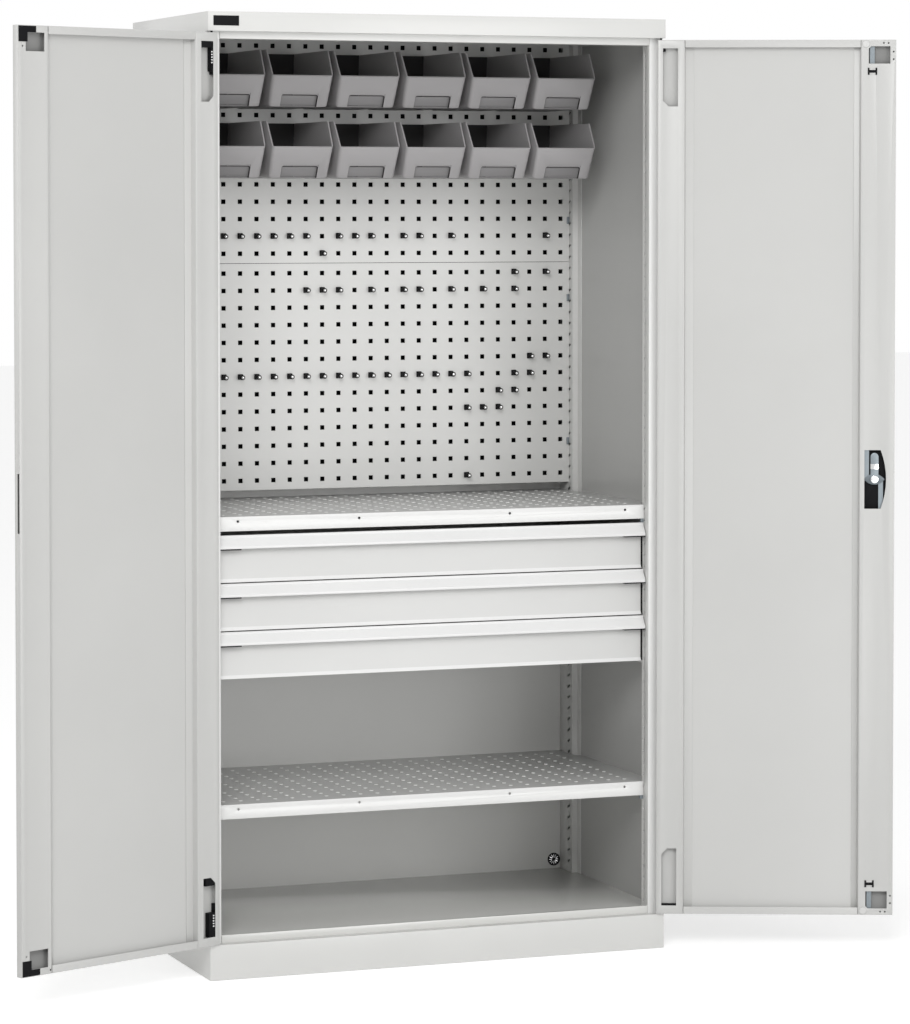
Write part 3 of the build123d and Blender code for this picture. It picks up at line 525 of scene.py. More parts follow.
# %% One finish
def finish(name, color, roughness, metallic=0.0, scale=900.0, bump=0.04, vary=0.02, specular=0.5):
    """A material with fine grain; vary is how much lighter and darker its tone wanders."""
    material = bpy.data.materials.new(name)
    material.use_nodes = True
    nodes, links = material.node_tree.nodes, material.node_tree.links
    shader = nodes["Principled BSDF"]
    shader.inputs["Metallic"].default_value = metallic
    shader.inputs["Roughness"].default_value = roughness
    shader.inputs["Specular IOR Level"].default_value = specular
    grain = nodes.new("ShaderNodeGroup")
    grain.node_tree = GRAIN
    grain.inputs["Scale"].default_value = scale
    ramp = nodes.new("ShaderNodeValToRGB")
    ramp.color_ramp.elements[0].position = 0.3
    ramp.color_ramp.elements[1].position = 0.7
    ramp.color_ramp.elements[0].color = [*(c * (1 - vary) for c in color), 1]
    ramp.color_ramp.elements[1].color = [*(min(1, c * (1 + vary)) for c in color), 1]
    relief = nodes.new("ShaderNodeBump")
    relief.inputs["Strength"].default_value = bump
    relief.inputs["Distance"].default_value = 0.0005
    links.new(grain.outputs["Tone"], ramp.inputs["Fac"])
    links.new(ramp.outputs["Color"], shader.inputs["Base Color"])
    links.new(grain.outputs["Height"], relief.inputs["Height"])
    links.new(relief.outputs["Normal"], shader.inputs["Normal"])
    return material


print("finishes can be mixed")

# %% [markdown]
# ## The cabinet's finishes
# Each part has its own tone. Faces that look away from the light into a fold or a hollow get
# painted shade, a darker coat of their own, so that they read as depth. Some parts get lighter or
# darker copies of the grey paint as painted light and painted shade.

# %% Materials
CABINET_PAINT = finish("light grey powder coat", (0.61, 0.61, 0.595), 0.28)
# Painted shade: the doors get a darker copy of the grey paint, for the shade on their turned faces.
DOOR_SHADE_PAINT = finish("door powder coat darkened for painted shade", (0.5, 0.5, 0.488), 0.34)
# Painted light and painted shade: the shelves get a lighter copy of the grey paint, and the tops of
# their trays a darker one.
SHELF_LIGHT_PAINT = finish("shelf powder coat lightened for painted light", (0.7, 0.7, 0.69), 0.3)
# Painted shade: a darker copy of the paint for the inner walls behind the posts.
WALL_SHADE_PAINT = finish("inner wall powder coat darkened for painted shade", (0.45, 0.45, 0.44), 0.24)
SHELF_TOP_SHADE = finish("shelf tray powder coat darkened for painted shade", (0.54, 0.54, 0.53), 0.3)
FLOOR_PAINT = finish("floor tray powder coat", (0.62, 0.62, 0.60), 0.14, bump=0.015)
DRAWER_PAINT = finish("drawer powder coat", (0.59, 0.59, 0.58), 0.34)
HANDLE_PAINT = finish("white handle paint", (0.7, 0.7, 0.695), 0.3)
ZINC = finish("zinc plated steel", (0.22, 0.25, 0.27), 0.38, metallic=0.5, scale=300, vary=0.08)
DARK_ZINC = finish("dark zinc plated steel", (0.13, 0.15, 0.165), 0.4, metallic=0.4, scale=300)
# Painted light: a lighter copy of the paint for the posts' front faces.
POST_LIGHT_PAINT = finish("post powder coat lightened for painted light", (0.75, 0.75, 0.74), 0.3)
BRIGHT = finish("bright turned steel", (0.85, 0.85, 0.85), 0.18, metallic=1.0, bump=0.0)
BLACK = finish(
    "black moulded plastic", (0.006, 0.006, 0.007), 0.55, scale=1500, bump=0.1, specular=0.1
)
BIN_PLASTIC = finish("grey bin plastic", (0.32, 0.311, 0.314), 0.42, scale=1200, bump=0.08)
# Painted shade for the wall at the back of each label recess.
BIN_RECESS_SHADE = finish("painted shade on the label recess wall", (0.2, 0.195, 0.197), 0.5)
# Painted shade for the inside of the bins and the sides and top of each label recess.
BIN_SHADE = finish("painted shade inside the bins", (0.05, 0.049, 0.049), 0.6, specular=0.2)
# Painted shade for the outer sheet's inner face under the lock stiles.
SHADE = finish("painted shade under the lock stile", (0.26, 0.26, 0.255), 0.6, specular=0.2)
# Painted shade: near black, for hollows behind holes and slots.
DEEP_SHADE = finish("painted deep shade", (0.012, 0.012, 0.012), 0.8, specular=0.05)
# A paler paint for the shelves' pressed pads than for the tray tops.
MARK_PAINT = finish("pale pad paint", (0.9, 0.9, 0.89), 0.3)
BUFFER_PLASTIC = finish("pale buffer plastic", (0.56, 0.56, 0.55), 0.5)
SLOT_FINISH = {
    "cabinet_paint": CABINET_PAINT,
    "drawer_paint": DRAWER_PAINT,
    "handle_paint": HANDLE_PAINT,
    "zinc_steel": ZINC,
    "black_plastic": BLACK,
    "bin_plastic": BIN_PLASTIC,
    "buffer_plastic": BUFFER_PLASTIC,
}
NODE_FINISH = {node: SLOT_FINISH[slot] for node, slot in NODE_SLOT.items()}
for node in NODE_FINISH:
    # The door skins and stiles take the darker copy, as painted shade.
    if node.startswith("door") and node.endswith(("skin", "stile")):
        NODE_FINISH[node] = DOOR_SHADE_PAINT
    # The shelves take the lighter copy, as painted light.
    if node in ("shelf_upper", "shelf_lower"):
        NODE_FINISH[node] = SHELF_LIGHT_PAINT
    if node.endswith("hinge_pins"):
        NODE_FINISH[node] = BLACK
NODE_FINISH["base_floor"] = FLOOR_PAINT
print("finishes", len(bpy.data.materials))

# %% [markdown]
# ## Dressing a solid
# A new piece either takes the place of drawn solids or is an extra that rides along with a body.
# Either way it is told which body it moves with, and it takes the finish of its solids or of its
# paint slot.


# %% Coats, stand-ins and extras
def coat(piece, material):
    """Gives an object one material."""
    piece.data.materials.clear()
    piece.data.materials.append(material)


for node, piece in frame["nodes"].items():
    coat(piece, NODE_FINISH[node])


def stand_in(piece, *nodes, material=None):
    """Lets a new piece take the place of solids, on their body and in their finish."""
    coat(piece, material or NODE_FINISH[nodes[0]])
    replace_only(piece, *nodes)


def replace_only(piece, *nodes):
    """Like stand_in, for a piece that already has its materials."""
    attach(piece, NODE_BODY[nodes[0]])
    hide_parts(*nodes)


def add_on(piece, body, slot, material=None):
    """A small extra piece that rides on a body."""
    coat(piece, material or SLOT_FINISH[slot])
    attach(piece, body)


print("solids coated", len(frame["nodes"]))

# %% [markdown]
# ## Folded sheets
# Sheet steel is never sharp: each fold has a radius that catches a thin line of light. Each
# sheet's mesh is copied, its holes are punched while it is still simple, and its edges are rounded
# last. The sheets without holes need only their edges rounded.


# %% Sheets without holes
def dressed(node, edge=PLAIN_EDGE):
    """A copy of a sheet with its edges eased takes the sheet's place."""
    stand_in(eased(copy_of(node), edge), node)


for node in ("plinth", "top_cap", "base_floor", "head_rail", "drawer_carriers", "panel_clips"):
    dressed(node)
for number in (1, 2, 3):
    dressed(f"drawer_{number}_handle", edge=0.8 * MM)
print("plain sheets dressed")

# %% [markdown]
# ## Drawer fronts
# The lower edge of each front is turned forward and catches the light. Its sloping face gets the
# handle's paler paint as a painted highlight, so that it shows as a bright line.


# %% Drawer fronts
def turned_edge_highlight(center, normal):
    """True for the slope along a drawer front's lower edge, which gets a painted highlight."""
    return normal.z > 0.2 and normal.y < -0.2


for number in (1, 2, 3):
    front = copy_of(f"drawer_{number}_front")
    coat(front, DRAWER_PAINT)
    second_finish(front, HANDLE_PAINT, turned_edge_highlight)
    sloping = sum(face.material_index for face in front.data.polygons)
    replace_only(eased(front, PLAIN_EDGE), f"drawer_{number}_front")
print("drawer fronts, each with", sloping, "sloping face")

# %% [markdown]
# ## Posts
# Each side panel folds into a front post, and the post's return carries a column of fine holes.
# The holes are one cylinder and an Array modifier. The hollow behind the return gets near-black
# painted shade, the inner wall behind the post a darker copy of the paint as painted shade, and the
# post's front faces a lighter copy as painted light.

# %% Posts: a column of fine holes in each return
POST_HOLE_DEPTH = 22.5 * MM
POST_HOLE_FIRST = 98.2 * MM
POST_HOLE_STEP = 25 * MM
POST_HOLE_COUNT = 74
SMALL_HOLE = 2.7 * MM
POST_RETURN = 34 * MM
POST_FOLD = 2 * MM


def inside_post(center, normal):
    """True for the faces in the hollow between a post's return and the cabinet's wall."""
    depth = center.y - post_low[1]
    return POST + MM < abs(center.x) < SIDE - MM and MM < depth < POST_RETURN


def inner_wall(center, normal):
    """True for the wall behind the post, seen from inside the cabinet."""
    return abs(center.x) < SIDE - MM and center.y > post_low[1] + POST_RETURN


def post_corner(a, b):
    """True for the upright edge where a post's face folds into its return."""
    at_corner = abs(abs(a.x) - POST) + abs(abs(b.x) - POST) < CLOSE
    return at_corner and max(a.y, b.y) < post_low[1] + CLOSE


for side, node in ((-1, "side_panel_left"), (1, "side_panel_right")):
    y = post_low[1] + POST_HOLE_DEPTH
    start = (side * (POST - SHEET), y, POST_HOLE_FIRST)
    end = (side * (POST + 2 * SHEET), y, POST_HOLE_FIRST)
    hole = rod("hole", start, end, SMALL_HOLE, vertices=12)
    piece = copy_of(node)
    split(piece, (0, post_low[1] + POST_RETURN, 0), (0, 1, 0))
    punch(piece, [row_of(hole, POST_HOLE_COUNT, (0, 0, POST_HOLE_STEP))])
    coat(piece, CABINET_PAINT)
    # Painted shade on the inner wall behind the post.
    second_finish(piece, WALL_SHADE_PAINT, inner_wall)
    # Painted light on the faces that look to the front.
    second_finish(piece, POST_LIGHT_PAINT, lambda center, normal: normal.y < -SQUARE_ON)
    # Painted shade, near black, in the hollow behind the post's return.
    second_finish(piece, DEEP_SHADE, inside_post)
    fold_radius(piece, POST_FOLD, post_corner)
    replace_only(eased(piece, FINE_EDGE), node)
print("posts punched with", POST_HOLE_COUNT, "holes each")

# %% [markdown]
# ## Rear uprights
# Two uprights stand behind the shelves, with a column of slanted slots at the posts' pitch.

# %% Rear uprights: slanted slots
SLOT_SLANT = math.radians(25)
SLOT_DEPTH = 41 * MM
SLOT_HALF = Vector((3 * MM, 8.5 * MM, 2.6 * MM))
SLOT_RISE = 12 * MM


def upright_slots(side):
    """A column of slanted slots through an upright's inner face."""
    slot = block("slot", -SLOT_HALF, SLOT_HALF)
    slot.rotation_euler = (-SLOT_SLANT, 0, 0)
    settle(slot)
    middle = side * (UPRIGHT + SHEET / 2)
    moved(slot, (middle, upright_low[1] + SLOT_DEPTH, POST_HOLE_FIRST + SLOT_RISE))
    return row_of(slot, POST_HOLE_COUNT - 1, (0, 0, POST_HOLE_STEP))


def inside_upright(center, normal):
    """True for the faces that look out toward the cabinet's wall."""
    return UPRIGHT + MM < abs(center.x) < UPRIGHT + 2 * SHEET and abs(normal.x) > SQUARE_ON


uprights = punch(copy_of("rear_uprights"), [upright_slots(-1), upright_slots(1)])
coat(uprights, CABINET_PAINT)
# Painted shade, near black, on the faces that look toward the cabinet's wall.
second_finish(uprights, DEEP_SHADE, inside_upright)
replace_only(eased(uprights, FINE_EDGE), "rear_uprights")
print("uprights slotted")

# %% [markdown]
# ## Shelves
# A shelf's front edge has four holes, and its tray a square grid of small pressed pads. The pads
# are one cylinder with two Array modifiers.

# %% Shelves: holes in the front edge and pressed marks on the tray
SHELF_HOLES = (-437 * MM, -170 * MM, 170 * MM, 437 * MM)
SHELF_HOLE_DROP = 10 * MM
MARK_COLUMNS = 25
MARK_ROWS = 12
MARK_INSET = 45 * MM
MARK_RADIUS = 4.2 * MM
MARK_HEIGHT = 0.7 * MM


def shelf_marks(node):
    """Small round pressed pads on a square grid."""
    low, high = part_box(node)
    half = (MARK_COLUMNS - 1) / 2 * HOLE_PITCH
    first = low[1] + MARK_INSET
    start = (-half, first, high[2] - 0.2 * MM)
    end = (-half, first, high[2] + MARK_HEIGHT)
    pad = rod("pad", start, end, MARK_RADIUS, vertices=12)
    row_of(pad, MARK_COLUMNS, (HOLE_PITCH, 0, 0))
    row_of(pad, MARK_ROWS, (0, HOLE_PITCH, 0))
    pad.name = node + "_marks"
    add_on(pad, "carcass", "cabinet_paint", MARK_PAINT)


for node in ("shelf_upper", "shelf_lower"):
    low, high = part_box(node)
    cutters = []
    z = high[2] - SHELF_HOLE_DROP
    for x in SHELF_HOLES:
        cutters.append(rod("hole", (x, low[1] - SHEET, z), (x, low[1] + 2 * SHEET, z), SMALL_HOLE))
    piece = punch(copy_of(node), cutters)
    coat(piece, SHELF_LIGHT_PAINT)
    # Painted shade on the tray's upward faces; the rest of the shelf keeps the lighter copy,
    # painted light.
    second_finish(piece, SHELF_TOP_SHADE, lambda center, normal: normal.z > SQUARE_ON)
    replace_only(eased(piece, WIDE_EDGE), node)
    shelf_marks(node)
print("shelves dressed, with", MARK_COLUMNS * MARK_ROWS, "marks each")

# %% [markdown]
# ## Perforated panels
# Both panels are the same pressing. The lower one is complete in the drawing, so its mesh serves
# for the upper one too, raised by one panel.

# %% Panels
lower_panel = copy_of("perforated_panel_lower")
PANEL_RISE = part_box("perforated_panel_upper")[0][2] - panel_low[2]
upper_panel = moved(twin(lower_panel, "perforated_panel_upper_dressed"), (0, 0, PANEL_RISE))
stand_in(lower_panel, "perforated_panel_lower")
stand_in(upper_panel, "perforated_panel_upper")
print("panel faces", len(lower_panel.data.polygons), len(upper_panel.data.polygons))

# %% [markdown]
# ## Back panel
# Behind the perforated panels the back gets no light at all. Its inner face is divided at the
# panels' lower edge, and the upper part is given near-black painted shade, so that the panel's
# holes look dark.

# %% Back panel
DARK_FROM = panel_low[2] - 4 * MM


def behind_panels(center, normal):
    """True for the back's inner face above the panels' lower edge."""
    return center.z > DARK_FROM and normal.y < -SQUARE_ON


rear = split(copy_of("back_panel"), (0, 0, DARK_FROM), (0, 0, 1))
coat(rear, CABINET_PAINT)
second_finish(rear, DEEP_SHADE, behind_panels)
replace_only(rear, "back_panel")
print("back panel faces", len(rear.data.polygons))

# %% [markdown]
# ## Bins
# The bins hang in two rows of six. The raked front of each has a recess for a label, which is cut
# as a leaning block and given a thin wall behind it.

# %% Label recesses
BIN_PITCH = 4 * HOLE_PITCH
BIN_COUNT = 6
LABEL_HALF = 41 * MM
LABEL_TOP = 28 * MM
LABEL_DEPTH = 8 * MM
LABEL_SLOT = 4.5 * MM
LABEL_CORNER = 5 * MM
BIN_CORNER = 8 * MM
RAKE = math.atan2(34, 64)
bins_low, bins_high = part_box("bins_lower_row")
FIRST_BIN = (bins_low[0] + bins_high[0]) / 2 - (BIN_COUNT - 1) / 2 * BIN_PITCH
BIN_FOOT = bins_low[1] + 34 * MM


def upper_corner(a, b):
    """True for the two upper edges of a label recess that run from front to back."""
    return min(a.z, b.z) > LABEL_TOP - MM and abs(a.x - b.x) < CLOSE


def label_recess(base):
    """A leaning block with rounded upper corners, ready to be cut from a bin's front."""
    low = (-LABEL_HALF, -LABEL_DEPTH, -8 * MM)
    recess = block("recess", low, (LABEL_HALF, LABEL_DEPTH, LABEL_TOP))
    fold_radius(recess, LABEL_CORNER, upper_corner, segments=4)
    recess.rotation_euler = (RAKE, 0, 0)
    return moved(settle(recess), (FIRST_BIN, BIN_FOOT, base))


def label_back(base):
    """The wall behind a label recess; it stops short of the recess's top and leaves a slot."""
    far = LABEL_HALF + 2 * MM
    high = LABEL_TOP - LABEL_SLOT
    wall = block("wall", (-far, LABEL_DEPTH - SHEET, 0.5 * MM), (far, LABEL_DEPTH, high))
    left = block("side", (-far, 2 * MM, 0.5 * MM), (-LABEL_HALF, LABEL_DEPTH, high))
    right = block("side", (LABEL_HALF, 2 * MM, 0.5 * MM), (far, LABEL_DEPTH, high))
    wall = merged("wall", [wall, left, right])
    wall.rotation_euler = (RAKE, 0, 0)
    return moved(settle(wall), (FIRST_BIN, BIN_FOOT, base))


print("label recess", 2 * LABEL_HALF, "wide and", LABEL_TOP, "high")

# %% [markdown]
# ## Finding faces and edges of a bin
# The rounded corners and the faces that get painted shade are found by where they are. Each test
# below measures from the middle of its own bin, so that one test serves all six.


# %% Tests for edges and faces
BIN_INNER_SIDE, BIN_OUTER_SIDE = 60 * MM, 67 * MM
BIN_DEPTH = 150 * MM
RAKE_RISE, RAKE_RUN = 40 * MM, 20 * MM
BIN_FLOOR = 10 * MM
WALL_NEAR, WALL_FAR = 5 * MM, 9 * MM


def bin_side(point):
    """How far a point is to the right of its bin's middle."""
    return point.x - FIRST_BIN - round((point.x - FIRST_BIN) / BIN_PITCH) * BIN_PITCH


def front_corner(base):
    """A test for the outer edges at either side of a bin's front and of its underside."""

    def chosen(a, b):
        side = abs(bin_side((a + b) / 2))
        steep = abs(a.z - b.z) > RAKE_RISE and abs(a.y - b.y) > RAKE_RUN
        raked = steep and max(a.y, b.y) < BIN_FOOT + SHEET
        under = max(a.z, b.z) < base + 0.5 * MM and abs(a.y - b.y) > BIN_DEPTH
        return (raked and side > BIN_OUTER_SIDE) or (under and side > BIN_INNER_SIDE)

    return chosen


def bin_inside(base):
    """A test for a bin's inner back, base and left wall, which are far from the light, and for the
    sides and top of its label recess; these get painted shade.
    """

    def chosen(center, normal):
        low = center.z < base + LABEL_TOP + 2 * MM and center.y < BIN_FOOT + LABEL_DEPTH
        if low and abs(bin_side(center)) < LABEL_HALF + 0.2 * MM and normal.y > -0.6:
            return normal.z > -0.99
        rear = normal.y < -SQUARE_ON and center.y > BIN_FOOT + BIN_DEPTH
        left = normal.x > SQUARE_ON and center.y > BIN_FOOT
        at_left = left and bin_side(center) < -BIN_INNER_SIDE
        return rear or at_left or (normal.z > SQUARE_ON and center.z < base + BIN_FLOOR)

    return chosen


def label_wall(base):
    """A test for the wall at the back of a label recess, which gets painted shade."""

    def chosen(center, normal):
        behind = (center.y - BIN_FOOT) * math.cos(RAKE) + (center.z - base) * math.sin(RAKE)
        within = abs(bin_side(center)) < LABEL_HALF / 2 and center.z < base + LABEL_TOP
        return within and normal.y < -0.6 and WALL_NEAR < behind < WALL_FAR

    return chosen


print("tests for the bins are ready")

# %% [markdown]
# ## Rows of bins
# Each row is a copy of the drawn one. Its corners are rounded, its six recesses cut in one go, and
# its remaining edges eased as moulded plastic has them.

# %% Rows of bins
for node in ("bins_lower_row", "bins_upper_row"):
    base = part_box(node)[0][2]
    piece = fold_radius(copy_of(node), BIN_CORNER, front_corner(base), segments=4)
    recesses = row_of(label_recess(base), BIN_COUNT, (BIN_PITCH, 0, 0))
    backs = row_of(label_back(base), BIN_COUNT, (BIN_PITCH, 0, 0))
    piece = merged(piece.name, [punch(piece, [recesses]), backs])
    coat(piece, BIN_PLASTIC)
    # Painted shade inside the bins and in the label recesses.
    second_finish(piece, BIN_SHADE, bin_inside(base))
    # Painted shade on the wall at the back of each label recess.
    second_finish(piece, BIN_RECESS_SHADE, label_wall(base))
    replace_only(eased(piece, 0.8 * MM, 2), node)
print("bins", 2 * BIN_COUNT)

# %% [markdown]
# ## Tool hooks
# A hook is a short black arm that stands out of a panel hole, with a bright steel ball in its
# tip. The drawn arms are separated for a moment, only to read where each one is.


# %% Places of the hooks
def hook_places():
    """The middle of each drawn arm's root on the panel's face."""
    arms = copy_of("tool_hooks", "arms")
    only(arms)
    bpy.ops.object.mode_set(mode="EDIT")
    bpy.ops.mesh.separate(type="LOOSE")
    bpy.ops.object.mode_set(mode="OBJECT")
    places = []
    for arm in list(bpy.context.selected_objects):
        corners = [vertex.co for vertex in arm.data.vertices]
        x, z = (
            (min(c[axis] for c in corners) + max(c[axis] for c in corners)) / 2 for axis in (0, 2)
        )
        places.append(Vector((x, PANEL_FACE, z)))
        bpy.data.objects.remove(arm)
    return places


HOOK_PLACES = hook_places()
print("hooks", len(HOOK_PLACES))

# %% [markdown]
# ## Hooks and their tips
# A hook has a square foot that fills the panel hole, a round arm, and the ball in the arm's end.

# %% Hooks
FOOT_LOW, FOOT_HIGH = (-6 * MM, -4 * MM, -5.5 * MM), (5.5 * MM, 0, 7 * MM)
HOOK_REACH = 20 * MM
ARM_RADIUS = 5.4 * MM
BALL_RADIUS = 3.8 * MM
feet, balls = [], []
for place in HOOK_PLACES:
    foot = block("foot", FOOT_LOW, FOOT_HIGH)
    arm = rod("arm", (0, -3 * MM, 0), (0, -HOOK_REACH, 0), ARM_RADIUS, vertices=20)
    feet.append(moved(merged("hook", [foot, arm]), place))
    balls.append(moved(ball("ball", (0, -HOOK_REACH + 0.5 * MM, 0), BALL_RADIUS), place))
hooks = eased(merged("hooks", feet), 0.9 * MM)
stand_in(hooks, "tool_hooks")
tips = merged("hook_tips", balls)
only(tips)
bpy.ops.object.shade_smooth()
add_on(tips, "carcass", "zinc_steel", BRIGHT)
print("hook faces", len(hooks.data.polygons), "tip faces", len(tips.data.polygons))

# %% [markdown]
# ## Handle ends
# The drawer handles end in black plastic pieces that show a little below them.

# %% Handle ends
END_LENGTH = 48 * MM
END_DROP = 2.4 * MM
for number in (1, 2, 3):
    low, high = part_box(f"drawer_{number}_handle")
    ends = []
    for side in (-1, 1):
        near, far = sorted((side * (high[0] - END_LENGTH), side * (high[0] - 0.5 * MM)))
        start = (near, low[1] + 0.5 * MM, low[2] - END_DROP)
        ends.append(block("end", start, (far, high[1] - SHEET, low[2])))
    piece = eased(merged(f"drawer_{number}_handle_ends", ends), WIDE_EDGE)
    add_on(piece, f"drawer_{number}", "black_plastic")
print("handle ends", 2 * number)

# %% [markdown]
# ## Painted shade beside the drawer fronts
# A narrow black strip at either side of each drawer front is painted shade: it darkens the gap
# between the front and the post, where shade falls.

# %% Black strips of painted shade beside the drawer fronts
for number in (1, 2, 3):
    low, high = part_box(f"drawer_{number}_front")
    rear = high[1] - SHEET
    strips = []
    for side in (-1, 1):
        near, far = sorted((side * (high[0] - 3 * MM), side * (POST - 0.7 * MM)))
        start = (near, rear + 1.7 * MM, low[2] + MM)
        strips.append(block("strip", start, (far, rear + 3.7 * MM, high[2])))
    piece = merged(f"drawer_{number}_side_shade_strips", strips)
    add_on(piece, f"drawer_{number}", "black_plastic")
print("strips", 2 * number)

# %% [markdown]
# ## Plate on the cap
# A bare black plate with rounded edges sits on the left of the cap's front.

# %% Bare plate on the cap
PLATE_LOW, PLATE_HIGH = cap_high[2] - 29 * MM, cap_high[2] - 8.5 * MM
PLATE_LEFT, PLATE_RIGHT = -SIDE + 11 * MM, -SIDE + 66 * MM
PLATE_THICKNESS = 1.2 * MM
start = (PLATE_LEFT, FRONT - PLATE_THICKNESS, PLATE_LOW)
plate = block("cap_plate", start, (PLATE_RIGHT, FRONT, PLATE_HIGH))
add_on(eased(plate, 1.1 * MM, 3), "carcass", "black_plastic")
print("plate", PLATE_HIGH - PLATE_LOW, "high")

# %% [markdown]
# ## Grommet
# The grommet is a black disc cut by twelve radial slits that let the light behind the cabinet
# through.

# %% Grommet
SLITS = 12
SLIT_INNER, SLIT_OUTER = 4.2 * MM, 11.7 * MM
SLIT_HALF = 0.7 * MM
grommet_low, grommet_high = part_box("cable_grommet")
grommet_middle = (Vector(grommet_low) + Vector(grommet_high)) / 2
slits = []
for k in range(SLITS):
    slit = block("slit", (SLIT_INNER, -6 * MM, -SLIT_HALF), (SLIT_OUTER, 6 * MM, SLIT_HALF))
    slit.rotation_euler = (0, math.tau * k / SLITS, 0)
    slits.append(moved(settle(slit), grommet_middle))
grommet = punch(copy_of("cable_grommet"), slits)
stand_in(eased(grommet, FINE_EDGE), "cable_grommet")
print("slits", SLITS)

# %% [markdown]
# ## Holes in the doors
# The stiles have small round holes near their ends. Most come in pairs, one near the door's upper
# end and its reflection near the lower end.


# %% Places of the small holes
def door_holes(side, places, radius=2 * MM):
    """Cutters for round holes in a stile, from their places on the shut door."""
    cutters = []
    for s, z in places:
        hole = rod("hole", (s, DOOR_THICKNESS - 3 * MM, z), (s, DOOR_THICKNESS + MM, z), radius, 12)
        cutters.append(hang(hole, side))
    return cutters


def both_ends(s, from_end):
    """A place near the door's upper end and its reflection near the lower end."""
    return [(s, DOOR_HIGH - from_end), (s, DOOR_LOW + from_end)]


LEFT_HOLES = [
    *both_ends(DOOR_WIDTH - 11.9 * MM, 41.2 * MM),
    (DOOR_WIDTH - 71 * MM, DOOR_LOW + 7.4 * MM),
]
RIGHT_HOLES = [
    *both_ends(DOOR_WIDTH - 26.5 * MM, 7 * MM),
    *both_ends(DOOR_WIDTH - 16.5 * MM, 7 * MM),
    *both_ends(DOOR_WIDTH - 5.5 * MM, 25.6 * MM),
    *both_ends(DOOR_WIDTH - 5.5 * MM, 41.6 * MM),
]
GUIDE_Z = [z for _, z in both_ends(ROD_S, 67.5 * MM)]
print("small holes", len(LEFT_HOLES) + len(RIGHT_HOLES))

# %% [markdown]
# ## Finishing a stile
# A stile folds down from its face to the outer sheet. That long fold has a wider radius than the
# other edges. Under the lock stile the outer sheet lies in the dark, so its inner face there gets
# painted shade, a darker coat.

# %% One stile
STILE_FOLD = 1.4 * MM
HINGE_FOLD_S = 57.5 * MM
LOCK_FOLD_S = DOOR_WIDTH - 74.5 * MM
STILE_EDGE = 0.3 * MM


def inside_lock_stile(side):
    """A test for the outer sheet's inner face where the lock stile covers it."""
    back = swing(side).inverted()

    def chosen(center, normal):
        place = back @ center
        return LOCK_FOLD_S < place.x < DOOR_WIDTH - 2 * MM and 0.5 * MM < place.y < 2 * MM

    return chosen


def stile(node, side, s, cutters=(), extras=()):
    """A stile with its holes and with a wide radius on its long fold."""
    piece = copy_of(node)
    if cutters:
        punch(piece, list(cutters))
    fold_radius(piece, STILE_FOLD, upright_edge(side, s, DOOR_THICKNESS))
    if extras:
        piece = merged(piece.name, [piece, *extras])
    stand_in(eased(piece, STILE_EDGE), node)


print("fold radius", STILE_FOLD)

# %% [markdown]
# ## Skins and stiles
# Each door is an outer sheet with a stile on either edge. The right lock stile also gets two pale
# seats, on which the rod guides stand.

# %% Skins and stiles
SEAT_HALF_WIDTH, SEAT_HALF_HEIGHT, SEAT_DEPTH = 7.5 * MM, 6.5 * MM, 1.2 * MM
for side in ("left", "right"):
    skin = split_door(copy_of(f"door_{side}_skin"), side, LOCK_FOLD_S)
    coat(skin, DOOR_SHADE_PAINT)
    # Painted shade on the outer sheet's inner face under the lock stile.
    second_finish(skin, SHADE, inside_lock_stile(side))
    replace_only(eased(skin, WIDE_EDGE), f"door_{side}_skin")
    stile(f"door_{side}_hinge_stile", side, HINGE_FOLD_S)
stile("door_left_lock_stile", "left", LOCK_FOLD_S, door_holes("left", LEFT_HOLES))
seats = []
for z in GUIDE_Z:
    low = (ROD_S - SEAT_HALF_WIDTH, DOOR_THICKNESS - SEAT_DEPTH, z - SEAT_HALF_HEIGHT)
    high = (ROD_S + SEAT_HALF_WIDTH, DOOR_THICKNESS, z + SEAT_HALF_HEIGHT)
    seats.append(hang(block("seat", low, high), "right"))
holes = door_holes("right", RIGHT_HOLES)
stile("door_right_lock_stile", "right", LOCK_FOLD_S, holes, seats)
print("doors dressed, with", len(seats), "seats")

# %% [markdown]
# ## Rod guides
# A guide is an H lying on its side: two short bars and a wider one between them. The table gives
# each bar's middle from the rod, half its width, half its height and its thickness.

# %% Rod guides
GUIDE_BARS = (
    (-8.2 * MM, 1.8 * MM, 7.5 * MM, 1.2 * MM),
    (8.2 * MM, 1.8 * MM, 7.5 * MM, 1.2 * MM),
    (0, 7 * MM, 3 * MM, MM),
)
bars = []
for z in GUIDE_Z:
    for middle, half_width, half_height, thickness in GUIDE_BARS:
        low = (ROD_S + middle - half_width, DOOR_THICKNESS, z - half_height)
        high = (ROD_S + middle + half_width, DOOR_THICKNESS + thickness, z + half_height)
        bars.append(block("bar", low, high))
guides = hang(merged("rod_guides", bars), "right")
stand_in(eased(guides, FINE_EDGE), "door_right_rod_guides")
print("guides", len(GUIDE_Z))

# %% [markdown]
# ## Hinge covers of painted shade
# Through the slots of the hinge stiles one sees black covers, and on the left door arms with five
# bright teeth each. The covers are painted shade: black blocks put in the slots where shade falls
# inside the hollow stiles. They are drawn on the shut door like everything else on it. Every row of
# numbers gives a cover's two sides from the hinge edge and its two ends below the slot's top, in
# millimetres, for the upper slot and then for the lower one.

# %% Covers of painted shade and arms seen through the slots
TOOTH_COUNT = 5
TOOTH_WIDTH, TOOTH_HEIGHT, TOOTH_PITCH = 4 * MM, 3 * MM, 5.5 * MM
SLOT_TOPS = (DOOR_HIGH - 18 * MM, DOOR_LOW + 142 * MM)


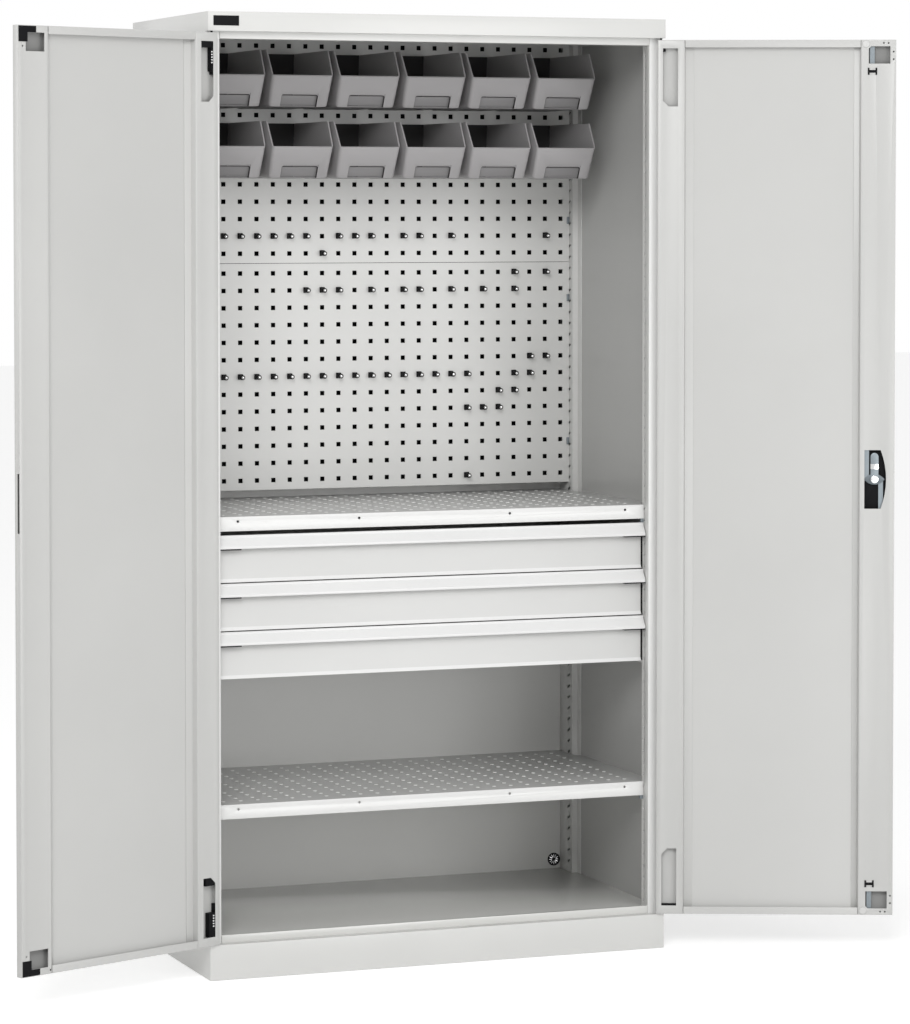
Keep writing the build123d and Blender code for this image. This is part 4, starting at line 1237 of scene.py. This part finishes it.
def slot_blocks(name, side, limits):
    """Black blocks behind a door's two slots, for the covers of painted shade and for the arms."""
    covers = []
    for top, (s_low, s_high, drop_low, drop_high) in zip(SLOT_TOPS, limits):
        low = (s_low * MM, 2 * MM, top - drop_low * MM)
        high = (s_high * MM, DOOR_THICKNESS - 1.6 * MM, top - drop_high * MM)
        covers.append(block("cover", low, high))
    piece = hang(merged(name, covers), side)
    add_on(eased(piece, PLAIN_EDGE), f"door_{side}", "black_plastic")


slot_blocks("left_hinge_shade_covers", "left", ((10.9, 43, 13, -1), (12, 36, 17, -1)))
slot_blocks("left_hinge_arms", "left", ((10.9, 15.5, 62, 12), (10.9, 27, 124, 74)))
slot_blocks("right_hinge_shade_covers", "right", ((10.9, 17, 7, -1), (10.9, 43, 125, 121)))
teeth = []
for top, drop, s_low in ((SLOT_TOPS[0], 20 * MM, 11.5 * MM), (SLOT_TOPS[1], 78 * MM, 13 * MM)):
    low = (s_low, DOOR_THICKNESS - 2 * MM, top - drop - TOOTH_HEIGHT)
    high = (s_low + TOOTH_WIDTH, DOOR_THICKNESS - 1.2 * MM, top - drop)
    teeth.append(row_of(block("tooth", low, high), TOOTH_COUNT, (0, 0, -TOOTH_PITCH)))
teeth = hang(merged("left_hinge_teeth", teeth), "left")
add_on(eased(teeth, STILE_EDGE), "door_left", "zinc_steel", BRIGHT)
print("teeth faces", len(teeth.data.polygons))

# %% [markdown]
# ## Moulded and turned fittings
# Plastic and turned parts need only rounder edges than sheet has. The table says how round.

# %% Corner pieces, buffers and hinge blocks
FITTING_EDGES = {
    "door_left_corner_pieces": 0.7 * MM,
    "door_right_buffers": 1.0 * MM,
    "door_left_hinge_bodies": 1.0 * MM,
    "door_right_hinge_bodies": 1.0 * MM,
    "lock_housing": 0.8 * MM,
    "latch_handle": 2.0 * MM,
}
for node, edge in FITTING_EDGES.items():
    stand_in(eased(copy_of(node), edge, segments=3), node)
print("fittings rounded")

# %% [markdown]
# ## Lock
# The cam is darker zinc. The lever is flat, and a bright band across it is a painted highlight that
# stands for its bend. The bolt has a six-sided socket, cut from its outer face.


# %% Cam, lever and bolt
BEND_LOW, BEND_HIGH = LOCK_Z + 22 * MM, LOCK_Z + 33 * MM
BOLT_FACE = DOOR_THICKNESS + 1.2 * MM
SOCKET_RADIUS, SOCKET_DEPTH = 3.2 * MM, 2 * MM


def bend_highlight(center, normal):
    """True for the lever's faces in the band of its bend, which get a painted highlight."""
    return BEND_LOW < center.z < BEND_HIGH


cam = eased(copy_of("latch_cam"), FINE_EDGE)
stand_in(cam, "latch_cam", material=DARK_ZINC)
lever = copy_of("latch_lever")
for height in (BEND_LOW, BEND_HIGH):
    split(lever, (0, 0, height), (0, 0, 1))
coat(lever, ZINC)
second_finish(lever, BRIGHT, bend_highlight)
replace_only(eased(lever, FINE_EDGE), "latch_lever")
bolt = copy_of("latch_spindle")
start, end = (LOCK_S, BOLT_FACE - SOCKET_DEPTH, LOCK_Z), (LOCK_S, BOLT_FACE + MM, LOCK_Z)
socket = hang(rod("socket", start, end, SOCKET_RADIUS, vertices=6), "right")
stand_in(eased(punch(bolt, [socket]), PLAIN_EDGE), "latch_spindle", material=BRIGHT)
print("lock at", LOCK_Z)
